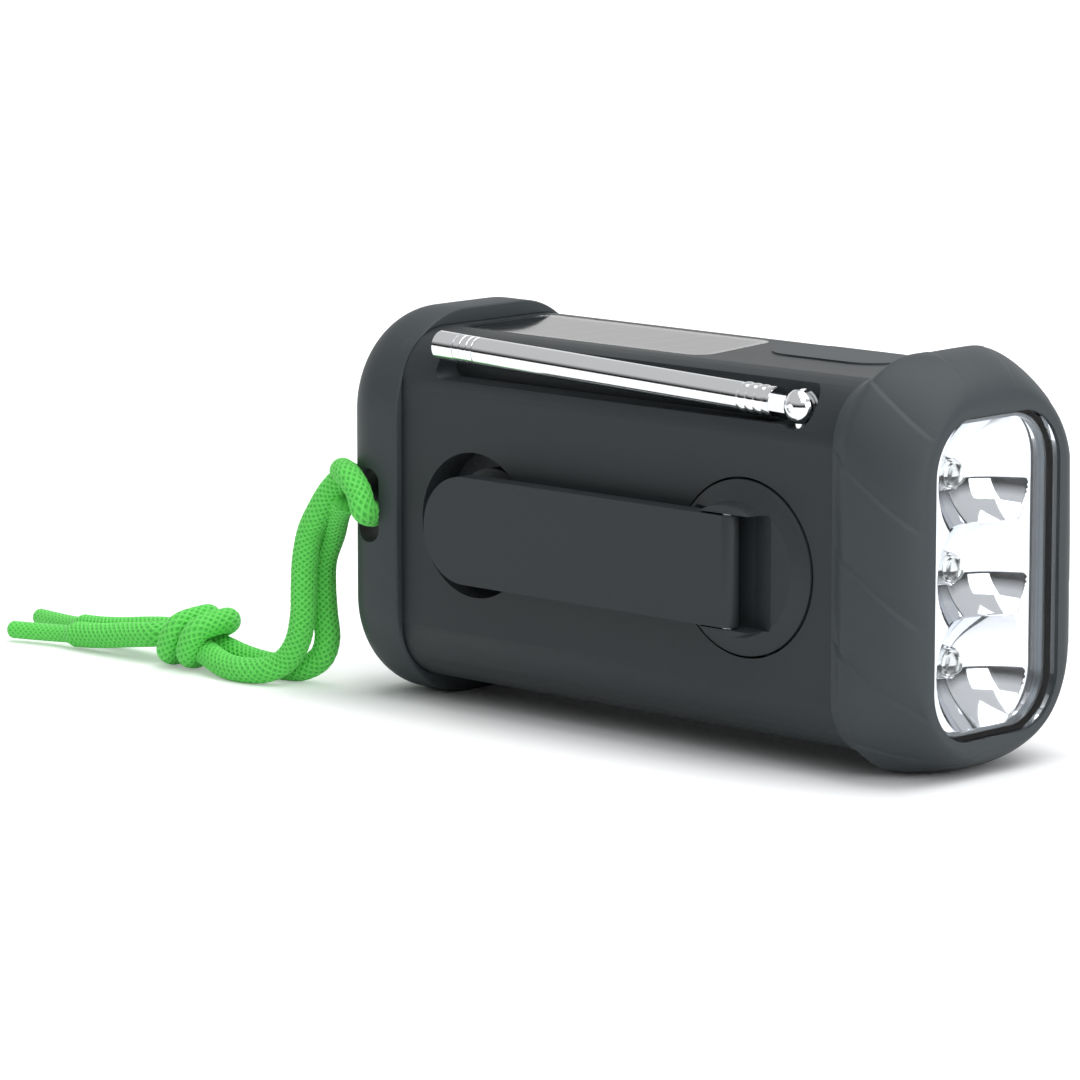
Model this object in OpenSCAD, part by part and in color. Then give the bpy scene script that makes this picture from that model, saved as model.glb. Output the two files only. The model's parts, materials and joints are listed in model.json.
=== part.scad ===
// Pocket crank radio with a torch head, a folding crank, a telescopic antenna and a cord lanyard.
// X runs along the radio towards the torch, the crank is on the -Y side, Z is up.

/* [Casing] */
// Length over the tail bumper and the torch head
body_len = 125; // [121:1:139]
// Width over the tail bumper and the torch head
bumper_w = 47; // [46:0.5:54]
// Height over the tail bumper
bumper_h = 66; // [65:0.5:72]
// How far the bumpers stand out past the sides of the casing
side_step = 1.5; // [1:0.1:2]
// How far the torch head stands above the tail bumper
head_rise = 1.2; // [0:0.1:2]
// How far the tail bumper stands out above the casing
top_step = 2.6; // [2:0.1:3]
// How far the bumper and the head stand out below the casing
bottom_step = 3.8; // [3:0.1:4.2]
// Corner radius of the casing's section
casing_r = 10; // [9:0.5:11]
// Corner radius of the bumpers' section
bumper_r = 17; // [16.5:0.5:18]
// Wall thickness of the casing
wall = 2.4; // [2:0.1:2.8]
// Length of the tail bumper
tail_len = 14; // [13:0.5:16]
// Rounding of the tail bumper's outer edge
tail_round = 8; // [6:0.5:9]
// Length of the torch head
head_len = 15.5; // [15:0.5:18]
// How deep the casing sits in the bumper and the head
socket_depth = 3; // [2:0.5:3]
// Where the two casing halves meet, across the width
split_y = -4; // [-5:0.5:-3]

/* [Torch] */
// Length of the head's rounded nose
nose_len = 12; // [10:0.5:12]
// Width of the lens opening
lens_w = 30.4; // [28:0.2:31]
// Height of the lens opening
lens_h = 51.5; // [48:0.5:52]
// Corner radius of the lens opening
lens_r = 9; // [8:0.5:10]
// Width of the rim round the lens
lens_rim = 1.3; // [1:0.1:2]
// How far the lens's middle lies below the head's middle
lens_drop = 1.35; // [0.5:0.05:2]
// Distance between the LEDs
led_pitch = 15.2; // [14:0.2:15.4]
// Radius of a reflector cup at its mouth
cup_r = 11.2; // [10:0.2:11.4]
// Radius of an LED's foot
led_r = 2.2; // [2:0.1:3]

/* [Crank] */
// Distance of the crank's axis from the torch head
hub_inset = 18.5; // [17.5:0.5:19.5]
// How far the crank's axis lies below mid-height
hub_drop = 0.7; // [0:0.1:1.5]
// Radius of the hub
hub_r = 14.2; // [13.6:0.1:14.6]
// Length of the arm from its hinge pin to the centre of its round tip
arm_len = 57.5; // [56:0.5:60]
// Width of the arm
arm_w = 18; // [16:0.5:18.4]
// Thickness of the arm
arm_t = 3.4; // [3.2:0.1:4]
// Radius of the knob in the arm's tip
knob_r = 7; // [5.5:0.1:7.2]
// Radius of the finger recess behind the arm's tip
finger_r = 12.2; // [11:0.1:12.6]
// Depth of the finger recess
finger_depth = 6.5; // [5:0.5:7]
// Radius of the crank shaft
shaft_r = 3; // [2.5:0.1:3.2]

/* [Gear train] */
// Size of the gear teeth: pitch diameter over the number of teeth
gear_module = 0.8; // [0.7:0.05:0.8]
// Teeth on the crank gear and on the idler's wheel
wheel_teeth = 36; // [32:4:36]
// Teeth on the idler's pinion and on the rotor's pinion
pinion_teeth = 12; // [12:1:12]
// Radius of the dynamo's can
can_r = 10; // [9.5:0.1:10.5]

/* [Antenna] */
// Radius of the antenna's barrel
barrel_r = 2.4; // [2.2:0.1:2.4]
// Length of the folded antenna from its hinge to its tip
antenna_len = 78; // [72:1:80]
// Wall of each antenna tube
tube_wall = 0.3; // [0.25:0.05:0.4]
// Depth of the antenna's hinge below the top of the casing
antenna_drop = 4.5; // [4:0.1:4.8]
// Depth of the antenna's hinge from the side of the casing
antenna_inset = 2.4; // [2:0.1:2.6]

/* [Top] */
// Gap between the solar window and the torch button
solar_gap = 5; // [4:0.5:10]
// Width of the solar window
solar_w = 22; // [18:0.5:22.5]
// Length of the torch button
button_len = 26; // [20:1:28]
// Width of the torch button
button_w = 13; // [10:0.5:13]
// Travel of the torch button
button_travel = 0.8; // [0.4:0.1:0.8]

/* [Far side] */
// Radius of the tuning knob
tuning_r = 9.5; // [8:0.1:9.8]
// Radius of the volume knob
volume_r = 6; // [5:0.1:6.5]
// Radius of the loudspeaker
speaker_r = 14; // [12:0.5:14]
// Radius of the battery cell
cell_r = 9; // [7:0.1:9]
// Length of the battery cell
cell_len = 65; // [50:1:66]

/* [Lanyard] */
// Diameter of the cord
cord_d = 4.4; // [3:0.1:4.4]

/* [Hidden] */
$fn = 64;
hull_fn = 32;
// Running clearance between a shaft and its bore
running = 0.05;
// Clearance round a moving or inserted piece
gap = 0.1;
// Clearance between the hub and its recess
hub_gap = 0.4;
far = 200;

charcoal = [0.20, 0.22, 0.23];
steel = [0.78, 0.79, 0.80];
board_green = [0.10, 0.32, 0.20];
cord_green = [0.25, 0.72, 0.22];

// Casing, along X
tail_end = -body_len / 2;
head_end = body_len / 2;
tail_step_x = tail_end + tail_len;
head_step_x = head_end - head_len;
casing_x0 = tail_step_x - socket_depth;
casing_x1 = head_step_x + socket_depth;
casing_w = bumper_w - 2 * side_step;
casing_h = bumper_h - top_step - bottom_step;
casing_top = bumper_h - top_step;
casing_mid = bottom_step + casing_h / 2;
mid_z = bumper_h / 2;
side_y = casing_w / 2;
inner_y = side_y - wall;
inner_top = casing_top - wall;
inner_bottom = bottom_step + wall;
hub_x = head_step_x - hub_inset;
hub_z = mid_z - hub_drop;

// Torch head's section, and the torch stack from the front face inwards
head_h = bumper_h + head_rise;
head_mid = head_h / 2;
lens_mid = head_mid - lens_drop;
nose_w = lens_w + 2 * lens_rim;
nose_h = lens_h + 2 * lens_rim;
nose_r = lens_r + lens_rim;
nose_soft = 4.5;
lens_front = head_end - 0.6;
lens_boss = 1.4;
lens_flange = 1;
flange_step = 1;
seal_t = 0.8;
lens_seat_x = lens_front - lens_boss;
seal_x = lens_seat_x - lens_flange - seal_t;
board_t = 1.6;
led_board_x = casing_x1;
reflector_x = led_board_x + board_t;
reflector_depth = seal_x - reflector_x;
torch_w = lens_w + 2 * flange_step;
torch_h = lens_h + 2 * flange_step;
torch_r = lens_r + flange_step;

// Crank, along Y from the outside inwards
arm_inner_y = -bumper_w / 2 - 0.6;
arm_outer_y = arm_inner_y - arm_t;
pin_y = arm_inner_y - arm_t / 2;
arm_end_r = arm_t / 2;
pin_r = 1;
rim_proud = 0.2;
ear_r = hub_r - 3.2;
pin_half = ear_r - 0.4;
ramp_x0 = arm_end_r + 1.2;
ramp_x1 = arm_end_r + 5.6;
slot_w = arm_w + 0.6;
slot_floor_y = arm_inner_y + 1.5;
ledge_y = arm_inner_y + 0.3;
hub_outer_y = arm_outer_y + 0.4;
hub_seat_y = -side_y + 2.8;
hub_base_y = hub_seat_y - gap;
bush_r = shaft_r + 1.5;
bush_y1 = hub_seat_y + 3.2;
knob_pocket_y = arm_outer_y + 1.2;
stud_r = 1.4;
clip_seat_y = arm_inner_y - 0.8;
tip_x = hub_x - arm_len;
finger_x = tip_x - 2.5;
finger_floor_y = -side_y + finger_depth;
finger_pad_y = -side_y + 2;

// Gear train, along Y
crank_gear_y0 = -15.5;
crank_gear_y1 = -11.5;
idler_step_y = -11.2;
idler_wheel_y0 = -10.6;
idler_wheel_y1 = -7.4;
plate_y0 = -6.7;
plate_t = 1.5;
plate_y1 = plate_y0 + plate_t;
gear_distance = gear_module * (wheel_teeth + pinion_teeth) / 2;
rotor_rise = 25;
idler_x = hub_x - gear_distance;
idler_z = hub_z;
rotor_x = idler_x - gear_distance * cos(rotor_rise);
rotor_z = idler_z + gear_distance * sin(rotor_rise);
idler_pin_r = 1.5;
rotor_shaft_r = 1;
can_depth = 12.7;
can_y1 = plate_y1 + can_depth;
can_wall = 1;
can_clear = 1;
coil_t = 1.6;
air_gap = 0.4;
coil_r = can_r - can_wall - coil_t;
clip_y0 = plate_y1 + gap;
clip_t = 0.8;
shaft_end_y = clip_y0 + clip_t + 0.3;
post_out = 9.5;
post_up = 16.2;
post_left = 5.4;
post_down = 20.4;
plate_posts = [[rotor_x - post_left, rotor_z - post_down], [hub_x + post_out, hub_z + post_up],
  [hub_x + post_out, hub_z - post_up]];
plate_margin = 3.5;
plate_post_r = 2.5;
plate_screw_r = 1;
plate_screw_len = 5;
plate_head_r = 2;
plate_head_t = 1.2;

// Antenna: its folded direction leans out a little and rises towards the tip
antenna_x = head_step_x - 8.7;
antenna_y = -side_y + antenna_inset;
antenna_z = casing_top - antenna_drop;
antenna_lean = 1.4;
antenna_rise = 2.1;
foot_ball_r = 2.9;
foot_post_r = 1.2;
neck_t = 1.6;
neck_r = 2.2;
neck_h = 2.8;
antenna_pin_r = 0.7;
barrel_start = 5;
cap_len = 4.5;
cap_r = barrel_r + 0.05;
section_step = 1.5;
notch_wall_y = antenna_y + 3.2;
notch_floor_z = antenna_z - 2.9;
notch_end_x = antenna_x - antenna_len - 1.5;
notch_r = 1.7;

// Top
solar_t = 0.8;
solar_r = 3.2;
solar_slant = 2;
cell_margin = 1.5;
button_x = head_step_x - 34.5;
button_y = 5;
solar_x0 = tail_step_x + 2;
solar_x1 = button_x - solar_gap;
cell_half = solar_w / 2 - cell_margin;
button_rise = 0.3;
button_flange = 0.8;

// Far side, from the battery at the bottom up
cell_x0 = tail_step_x + 9;
cell_y = inner_y - cell_r - 0.4;
cell_z = inner_bottom + cell_r + gap;
cell_top = cell_z + cell_r;
board_len = 40;
board_y0 = 12;
board_y1 = board_y0 + board_t;
board_x1 = head_step_x - 8.5;
board_x0 = board_x1 - board_len;
board_z0 = cell_top + 2.7;
board_z1 = inner_top - 4.8;
board_inset = 2.5;
board_posts = [for (x = [board_x0 + board_inset, board_x1 - board_inset],
  z = [board_z0 + board_inset, board_z1 - board_inset]) [x, z]];
board_post_r = 2;
board_screw_r = 0.9;
control_y1 = inner_y - 1.2;
knob_seat_y = side_y - 1.6;
knob_face_y = -arm_outer_y;
knob_shaft_r = 2;
control_z = (board_z0 + board_z1) / 2 + 2;
tuning_x = board_x1 - 11;
tuning_z = control_z;
volume_x = board_x0 + 10;
volume_z = control_z;
slider_x = board_x0 + 20;
slider_z = board_z0 + 3;
slider_travel = 4;
speaker_x = tail_step_x + 21;
speaker_z = cell_top + speaker_r + 3.7;
speaker_depth = 10;
grille_hole_r = 0.9;
grille_pitch = 2.9;
grille_rings = 4;
socket_x = board_x1 - 8;
socket_z = inner_bottom + 7.8;
socket_w = 9;
socket_h = 3.4;
cover_w = 13;
cover_h = 8;
cover_t = 0.9;
cover_seat_y = side_y - cover_t - gap;
cover_hinge_r = cover_t / 2;
screw_r = 1.4;
screw_head_r = 2.6;
screw_seat_y = side_y - 4;
screw_tip_y = -14;
case_post_r = 3.4;
case_screw_in = 3;
case_screw_up = 11;
case_screw_places = [for (x = [tail_step_x + case_screw_in, head_step_x - case_screw_in],
  z = [case_screw_up, bumper_h - case_screw_up]) [x, z]];

// Lanyard slot through the bumper's corner, and the cord's routes, which start at the tail's end
slot_z0 = 27;
slot_z1 = 39.6;
slot_t = cord_d + 0.4;
slot_r = slot_t / 2 - gap;
slot_turn = 66;
slot_reach = 30;
slot_corner = 17;
slot_x = tail_end + 5;
slot_y = -bumper_w / 2 + 5;
cord_sides = 8;
strand_a_route = [[-0.8, -23.4, 36], [-3.1, -24.5, 31.8], [-6, -24.3, 27.4], [-7.5, -24.1, 22.6],
  [-8, -24, 17.6], [-8.2, -24, 12.8], [-9.2, -24.3, 8], [-11.2, -25.2, 4.6], [-14, -26.8, 2.8],
  [-18, -27.8, 2.2], [-23, -27.7, 2.2], [-28.5, -26.6, 3.2]];
strand_b_route = [[-0.8, -21.4, 31.8], [-5, -19.9, 26.6], [-7.7, -19.3, 21.8], [-8.2, -19.1, 17],
  [-7.9, -19, 12.3], [-7.4, -19, 8], [-8.4, -19.6, 4.6], [-11.5, -20.8, 2.6], [-16, -21.4, 2.2],
  [-23, -21.2, 2.3], [-28.5, -21.8, 3.4]];
hitch_route = [[6.6, -21.4, 31.5], [8.4, -25.5, 32.8], [7.3, -25.8, 36], [4.6, -25.3, 38.2],
  [0.7, -23, 38.4], [-1.7, -19, 37], [-2.2, -14.2, 35], [0.6, -9.2, 33.6]];
knot_centre = [-36, -24, 5.6];
knot_size = [17, 11.4, 11];
tail_a_route = [[-43.6, -25.4, 5], [-50, -26.2, 4.2], [-57, -26.6, 3.2], [-65, -26.8, 2.5],
  [-72, -28, 2.2], [-78, -30, 2.2]];
tail_b_route = [[-43.6, -21.4, 5.2], [-50, -21.4, 4.6], [-57, -21.2, 3.6], [-65, -20.4, 2.7],
  [-74, -19, 2.2], [-84, -18, 2.2]];

// Shapes that repeat

module round_rect(w, h, r) {
  square([w - 2 * r, h], center = true);
  square([w, h - 2 * r], center = true);
  for (side = [-1, 1], end = [-1, 1])
    translate([side * (w / 2 - r), end * (h / 2 - r)])
      circle(r);
}

// A section drawn across the radio (Y, Z), carried along X
module along_x(x0, x1)
  translate([x0, 0, 0])
    rotate([90, 0, 90])
      linear_extrude(x1 - x0)
        children();

// An outline drawn on the side of the radio (X, Z), carried along Y
module along_y(y0, y1)
  translate([0, y1, 0])
    rotate([90, 0, 0])
      linear_extrude(y1 - y0)
        children();

// A round bar or hole along Y
module rod_y(x, z, y0, y1, r)
  translate([x, y1, z])
    rotate([90, 0, 0])
      cylinder(r = r, h = y1 - y0);

module block(x0, x1, y0, y1, z0, z1)
  translate([x0, y0, z0])
    cube([x1 - x0, y1 - y0, z1 - z0]);

module casing_section(inset)
  translate([0, casing_mid])
    round_rect(casing_w - 2 * inset, casing_h - 2 * inset, casing_r - inset);

// One half of the casing's section: -1 is the crank side, 1 the far side
module half_section(side)
  intersection() {
    casing_section(0);
    translate([side < 0 ? -far : split_y, 0])
      square([side < 0 ? far + split_y : far, far]);
  }

module bumper_slice(x, w, h, r, z)
  along_x(x - 0.01, x + 0.01)
    translate([0, z])
      round_rect(w, h, r, $fn = hull_fn);

// The window's outline: round corners, and a slanted edge at the button
module solar_outline(grow) {
  r = solar_r + grow;
  x0 = solar_x0 - grow;
  x1 = solar_x1 + grow;
  half = solar_w / 2 + grow;
  edge = norm([half, solar_slant]);
  outward = [half, solar_slant] / edge;
  near_corner = [x1 + solar_slant - r * (edge + solar_slant) / half, r - half];
  far_corner = [x1 - solar_slant - r * (edge - solar_slant) / half, half - r];
  polygon([[x0 + r, -half], [near_corner.x, -half], near_corner + r * outward, far_corner + r * outward,
    [far_corner.x, half], [x0 + r, half], [x0, half - r], [x0, r - half]]);
  for (centre = [near_corner, far_corner, [x0 + r, half - r], [x0 + r, r - half]])
    translate(centre)
      circle(r);
}

// The antenna's notch seen from the side, with a round corner below its tip
module notch_outline() {
  translate([notch_end_x, notch_floor_z + notch_r])
    square([antenna_x - notch_end_x, far]);
  translate([notch_end_x + notch_r, notch_floor_z])
    square([antenna_x - notch_end_x - notch_r, far]);
  translate([notch_end_x + notch_r, notch_floor_z + notch_r])
    circle(notch_r);
}

// The button's pill outline: a bar and two round ends
module button_outline(grow) {
  r = button_w / 2;
  straight = button_len - 2 * r;
  translate([button_x + r, button_y - r - grow])
    square([straight, 2 * (r + grow)]);
  for (end = [0, 1])
    translate([button_x + r + end * straight, button_y])
      circle(r + grow);
}

// Spur gear with straight-sided teeth; the first tooth points along +X, turned by phase
module gear(teeth, phase) {
  pitch_r = gear_module * teeth / 2;
  root_r = pitch_r - 1.15 * gear_module;
  tip_r = pitch_r + 0.85 * gear_module;
  step = 360 / teeth;
  root_half = step * 0.34;
  tip_half = step * 0.10;
  polygon([for (tooth = [0 : teeth - 1])
    each [for (corner = [[root_r, -root_half], [tip_r, -tip_half], [tip_r, tip_half], [root_r, root_half]])
      let (angle = phase + tooth * step + corner[1])
        corner[0] * [cos(angle), sin(angle)]]]);
}

module gear_y(x, z, y0, y1, teeth, phase)
  along_y(y0, y1)
    translate([x, z])
      gear(teeth, phase);

// The folded antenna's frame: its own +Z runs from the hinge to the tip
module antenna_frame()
  translate([antenna_x, antenna_y, antenna_z])
    rotate([0, 0, antenna_lean])
      rotate([0, -90 + antenna_rise, 0])
        children();

// A tube of cord swept along a route, square to it at both ends
function unit(v) = v / norm(v);
function heading(route, i) =
  unit(route[min(i + 1, len(route) - 1)] - route[max(i - 1, 0)]);
function side_of(v) = unit(cross(v, abs(v[1]) > 0.8 ? [0, 0, 1] : [0, 1, 0]));
function curve_point(a, b, c, d, t) =
  0.5 * (2 * b + (c - a) * t + (2 * a - 5 * b + 4 * c - d) * t * t
    + (3 * b - a - 3 * c + d) * t * t * t);
function smooth(route, steps) = [
  for (i = [0 : len(route) - 2], k = [0 : steps - 1])
    curve_point(route[max(i - 1, 0)], route[i], route[i + 1], route[min(i + 2, len(route) - 1)], k / steps),
  route[len(route) - 1]];

module cord(route, r) {
  line = [for (point = smooth(route, 2)) point + [tail_end, 0, 0]];
  rings = len(line);
  points = [for (i = [0 : rings - 1])
    let (ahead = heading(line, i), across = side_of(ahead), upward = cross(ahead, across))
      for (k = [0 : cord_sides - 1])
        line[i] + r * (cos(360 * k / cord_sides) * across + sin(360 * k / cord_sides) * upward)];
  function at(i, k) = i * cord_sides + (k % cord_sides);
  sides = [for (i = [0 : rings - 2], k = [0 : cord_sides - 1])
    each [[at(i, k), at(i + 1, k), at(i + 1, k + 1)], [at(i, k), at(i + 1, k + 1), at(i, k + 1)]]];
  ends = [for (k = [1 : cord_sides - 2])
    each [[at(0, 0), at(0, k), at(0, k + 1)],
      [at(rings - 1, 0), at(rings - 1, k + 1), at(rings - 1, k)]]];
  polyhedron(points, concat(sides, ends));
}

// Casing

module rear_shell()
  color(charcoal)
    difference() {
      union() {
        along_x(casing_x0, casing_x1)
          difference() {
            half_section(-1);
            casing_section(wall);
          }
        // solid shoulder behind the antenna's notch
        along_x(notch_end_x - 3, casing_x1)
          intersection() {
            half_section(-1);
            translate([-far, notch_floor_z - wall])
              square([far + notch_wall_y + 2, far]);
          }
        intersection() {
          along_x(casing_x0, casing_x1)
            half_section(-1);
          union() {
            rod_y(finger_x, hub_z, -side_y + 1, finger_floor_y + 2, finger_r + 2);
            rod_y(hub_x, hub_z, -side_y + 1, hub_seat_y + wall, hub_r + hub_gap + 2);
          }
        }
        rod_y(idler_x, idler_z, -inner_y - 0.5, crank_gear_y0 - 0.5, idler_pin_r + 1.5);
        for (place = plate_posts)
          rod_y(place[0], place[1], -inner_y - 0.5, plate_y0, plate_post_r);
        for (place = case_screw_places)
          rod_y(place[0], place[1], -inner_y - 0.5, split_y, case_post_r);
      }
      difference() {
        rod_y(finger_x, hub_z, -far, finger_floor_y, finger_r);
        rod_y(tip_x, hub_z, finger_pad_y, finger_floor_y, arm_w / 2 + 0.6);
      }
      rod_y(hub_x, hub_z, -far, hub_seat_y, hub_r + hub_gap);
      rod_y(hub_x, hub_z, -far, far, bush_r);
      rod_y(idler_x, idler_z, -inner_y - 1, far, idler_pin_r);
      // notch for the antenna, with a round pocket for its foot
      along_y(-far, notch_wall_y)
        notch_outline();
      rod_y(antenna_x, antenna_z, -far, notch_wall_y, antenna_z - notch_floor_z + 0.6);
      translate([antenna_x, antenna_y, 0])
        translate([0, 0, notch_floor_z - 4])
          cylinder(r = foot_post_r, h = 8);
      for (place = plate_posts)
        rod_y(place[0], place[1], plate_y0 - plate_screw_len - 1, far, plate_screw_r);
      for (place = case_screw_places)
        rod_y(place[0], place[1], screw_tip_y, far, screw_r);
      translate([0, 0, casing_top - 2 * solar_t])
        linear_extrude(far)
          solar_outline(gap);
    }

module front_shell()
  color(charcoal)
    difference() {
      union() {
        along_x(casing_x0, casing_x1)
          difference() {
            half_section(1);
            casing_section(wall);
          }
        intersection() {
          along_x(casing_x0, casing_x1)
            half_section(1);
          rod_y(speaker_x, speaker_z, inner_y - 2, inner_y + 0.5, speaker_r + 1.5);
        }
        for (place = board_posts)
          rod_y(place[0], place[1], board_y1, inner_y + 0.5, board_post_r);
        for (place = case_screw_places)
          rod_y(place[0], place[1], split_y, inner_y + 0.5, case_post_r);
        // cradle ribs for the battery, and the housing of the charging socket
        for (x = [cell_x0 + 5, cell_x0 + cell_len - 7])
          along_x(x, x + 2)
            intersection() {
              casing_section(wall - 0.3);
              translate([cell_y - cell_r, 0])
                square([far, cell_z]);
            }
        block(socket_x - socket_w / 2 - 2, socket_x + socket_w / 2 + 2, inner_y - 5, inner_y + 0.5,
          socket_z - socket_h / 2 - 2, socket_z + socket_h / 2 + 2);
      }
      rod_y(speaker_x, speaker_z, -far, inner_y, speaker_r);
      for (ring = [0 : grille_rings], k = [0 : max(0, 6 * ring - 1)])
        let (angle = ring == 0 ? 0 : 60 * k / ring)
          rod_y(speaker_x + ring * grille_pitch * cos(angle), speaker_z + ring * grille_pitch * sin(angle),
            0, far, grille_hole_r);
      for (place = board_posts)
        rod_y(place[0], place[1], -far, board_y1 + 4, board_screw_r);
      for (place = case_screw_places) {
        rod_y(place[0], place[1], -far, far, screw_r);
        rod_y(place[0], place[1], screw_seat_y, far, screw_head_r + gap);
      }
      rod_y(tuning_x, tuning_z, knob_seat_y, far, tuning_r + 0.3);
      rod_y(tuning_x, tuning_z, 0, far, knob_shaft_r + running);
      rod_y(volume_x, volume_z, knob_seat_y, far, volume_r + 0.3);
      rod_y(volume_x, volume_z, 0, far, knob_shaft_r + running);
      block(slider_x - 2 - gap, slider_x + 2 + slider_travel + gap, 0, far, slider_z - 1.5 - gap,
        slider_z + 1.5 + gap);
      translate([cell_x0 - gap, cell_y, cell_z])
        rotate([0, 90, 0])
          cylinder(r = cell_r + running, h = cell_len + 2 * gap);
      block(socket_x - socket_w / 2, socket_x + socket_w / 2, 0, far, socket_z - socket_h / 2,
        socket_z + socket_h / 2);
      block(socket_x - cover_w / 2 - gap, socket_x + cover_w / 2 + gap, cover_seat_y, far,
        socket_z - cover_h / 2 - gap, socket_z + cover_h / 2 + 2 * gap);
      translate([0, 0, inner_top - 1])
        linear_extrude(far)
          button_outline(gap);
      translate([0, 0, casing_top - 2 * solar_t])
        linear_extrude(far)
          solar_outline(gap);
    }

module tail_bumper()
  color(charcoal)
    difference() {
      hull() {
        bumper_slice(tail_step_x, bumper_w, bumper_h, bumper_r, mid_z);
        for (angle = [0 : 18 : 90])
          let (inset = tail_round * (1 - cos(angle)))
            bumper_slice(tail_end + tail_round * (1 - sin(angle)), bumper_w - 2 * inset,
              bumper_h - 2 * inset, bumper_r - inset, mid_z);
      }
      along_x(casing_x0, far)
        casing_section(-gap);
      // hollow behind the casing's end, clear of the corner with the lanyard slot
      block(tail_end + 3, far, slot_corner - bumper_w / 2, inner_y - 1, inner_bottom, inner_top);
      translate([slot_x, slot_y, (slot_z0 + slot_z1) / 2])
        rotate([0, 0, -slot_turn])
          along_x(-slot_reach, slot_reach)
            round_rect(slot_t, slot_z1 - slot_z0, slot_r);
    }

// The value part of the way from one number to another
function mix(from, to, share) = from + (to - from) * share;

module torch_head()
  color(charcoal)
    difference() {
      hull() {
        bumper_slice(head_step_x, casing_w + 0.6, casing_h + 0.6, casing_r + 0.3, casing_mid);
        for (angle = [0 : 15 : 90])
          let (share = 1 - cos(angle))
            bumper_slice(head_end - nose_len * (1 - sin(angle)), mix(bumper_w, nose_w, share),
              mix(head_h, nose_h, share), mix(bumper_r, nose_r, share) + nose_soft * sin(2 * angle),
              mix(head_mid, lens_mid, share));
      }
      along_x(-far, casing_x1)
        casing_section(-gap);
      along_x(0, lens_seat_x)
        translate([0, lens_mid])
          round_rect(torch_w + 2 * gap, torch_h + 2 * gap, torch_r + gap);
      along_x(0, far)
        translate([0, lens_mid])
          round_rect(lens_w + 2 * gap, lens_h + 2 * gap, lens_r + gap);
    }

// Torch

module lens()
  color([0.85, 0.88, 0.90, 0.4]) {
    along_x(lens_seat_x - 0.01, lens_front)
      translate([0, lens_mid])
        round_rect(lens_w, lens_h, lens_r);
    along_x(lens_seat_x - lens_flange, lens_seat_x)
      translate([0, lens_mid])
        round_rect(torch_w, torch_h, torch_r);
  }

module lens_seal()
  color([0.12, 0.12, 0.12])
    along_x(seal_x, seal_x + seal_t)
      translate([0, lens_mid])
        difference() {
          round_rect(torch_w, torch_h, torch_r);
          round_rect(torch_w - 3, torch_h - 3, torch_r - 1.5);
        }

// A point on a cup's curved wall, from its foot (share 0) to its mouth (share 1)
function cup_point(share) = [led_r + 0.3 + (cup_r - led_r - 0.3) * sqrt(share), reflector_depth * share];

module reflector()
  color([0.88, 0.89, 0.90])
    difference() {
      along_x(reflector_x, seal_x)
        translate([0, lens_mid])
          round_rect(torch_w, torch_h, torch_r);
      for (cup = [-1 : 1])
        translate([reflector_x, 0, lens_mid + cup * led_pitch])
          rotate([0, 90, 0])
            rotate_extrude()
              polygon(concat([[0, -1], [led_r + 0.3, -1]],
                [for (i = [0 : 8]) cup_point(i / 8)],
                [[cup_r, reflector_depth + 1], [0, reflector_depth + 1]]));
    }

module leds()
  color([0.95, 0.95, 0.88])
    for (place = [-1 : 1])
      translate([led_board_x + board_t, 0, lens_mid + place * led_pitch])
        rotate([0, 90, 0])
          rotate_extrude()
            intersection() {
              union() {
                square([led_r, 1]);
                translate([0, 1])
                  circle(led_r - 0.4);
              }
              square([far, far]);
            }

module led_board()
  color(board_green)
    along_x(led_board_x, led_board_x + board_t)
      translate([0, lens_mid])
        round_rect(torch_w, torch_h, torch_r);

// Top

module solar_window()
  color([0.55, 0.57, 0.58, 0.6])
    translate([0, 0, casing_top - solar_t])
      linear_extrude(solar_t)
        solar_outline(0);

module solar_cell()
  color([0.10, 0.12, 0.18])
    translate([0, 0, casing_top - 2 * solar_t])
      linear_extrude(solar_t)
        polygon([[solar_x0 + cell_margin, -cell_half], [solar_x1 + solar_slant - cell_margin, -cell_half],
          [solar_x1 - solar_slant - cell_margin, cell_half], [solar_x0 + cell_margin, cell_half]]);

module torch_button()
  color(charcoal) {
    translate([0, 0, inner_top - gap])
      linear_extrude(wall + gap + button_rise)
        button_outline(0);
    translate([0, 0, inner_top - 1 - gap])
      linear_extrude(1)
        button_outline(button_flange);
  }

// Antenna

module antenna_foot()
  color(steel)
    translate([antenna_x, antenna_y, antenna_z])
      difference() {
        union() {
          sphere(foot_ball_r);
          translate([0, 0, notch_floor_z - antenna_z - 4])
            cylinder(r = foot_post_r, h = antenna_z - notch_floor_z + 4);
        }
        block(-far, far, -neck_t / 2 - gap, neck_t / 2 + gap, -neck_r - gap, far);
        rod_y(0, 0, -far, far, antenna_pin_r);
      }

module antenna_pin()
  color(steel)
    rod_y(antenna_x, antenna_z, antenna_y - 2.6, antenna_y + 2.6, antenna_pin_r);

module antenna_barrel()
  color(steel)
    difference() {
      union() {
        rod_y(antenna_x, antenna_z, antenna_y - neck_t / 2, antenna_y + neck_t / 2, neck_r);
        antenna_frame() {
          translate([-neck_h / 2, -neck_t / 2 + 0.2, 0])
            cube([neck_h, neck_t - 0.4, barrel_start + 1]);
          translate([0, 0, barrel_start])
            cylinder(r = barrel_r, h = antenna_len - cap_len - 3 * section_step - barrel_start);
        }
      }
      rod_y(antenna_x, antenna_z, -far, far, antenna_pin_r + running);
      antenna_frame()
        translate([0, 0, barrel_start + 1])
          cylinder(r = barrel_r - tube_wall, h = far);
    }

// An inner tube of the antenna; each one is a tube wall and a running gap smaller than the last
function section_r(number) = barrel_r - (number - 1) * (tube_wall + running);
function section_end(number) = antenna_len - cap_len - (4 - number) * section_step;
function section_start(number) = barrel_start + 1 + (number - 1) * section_step;

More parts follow.
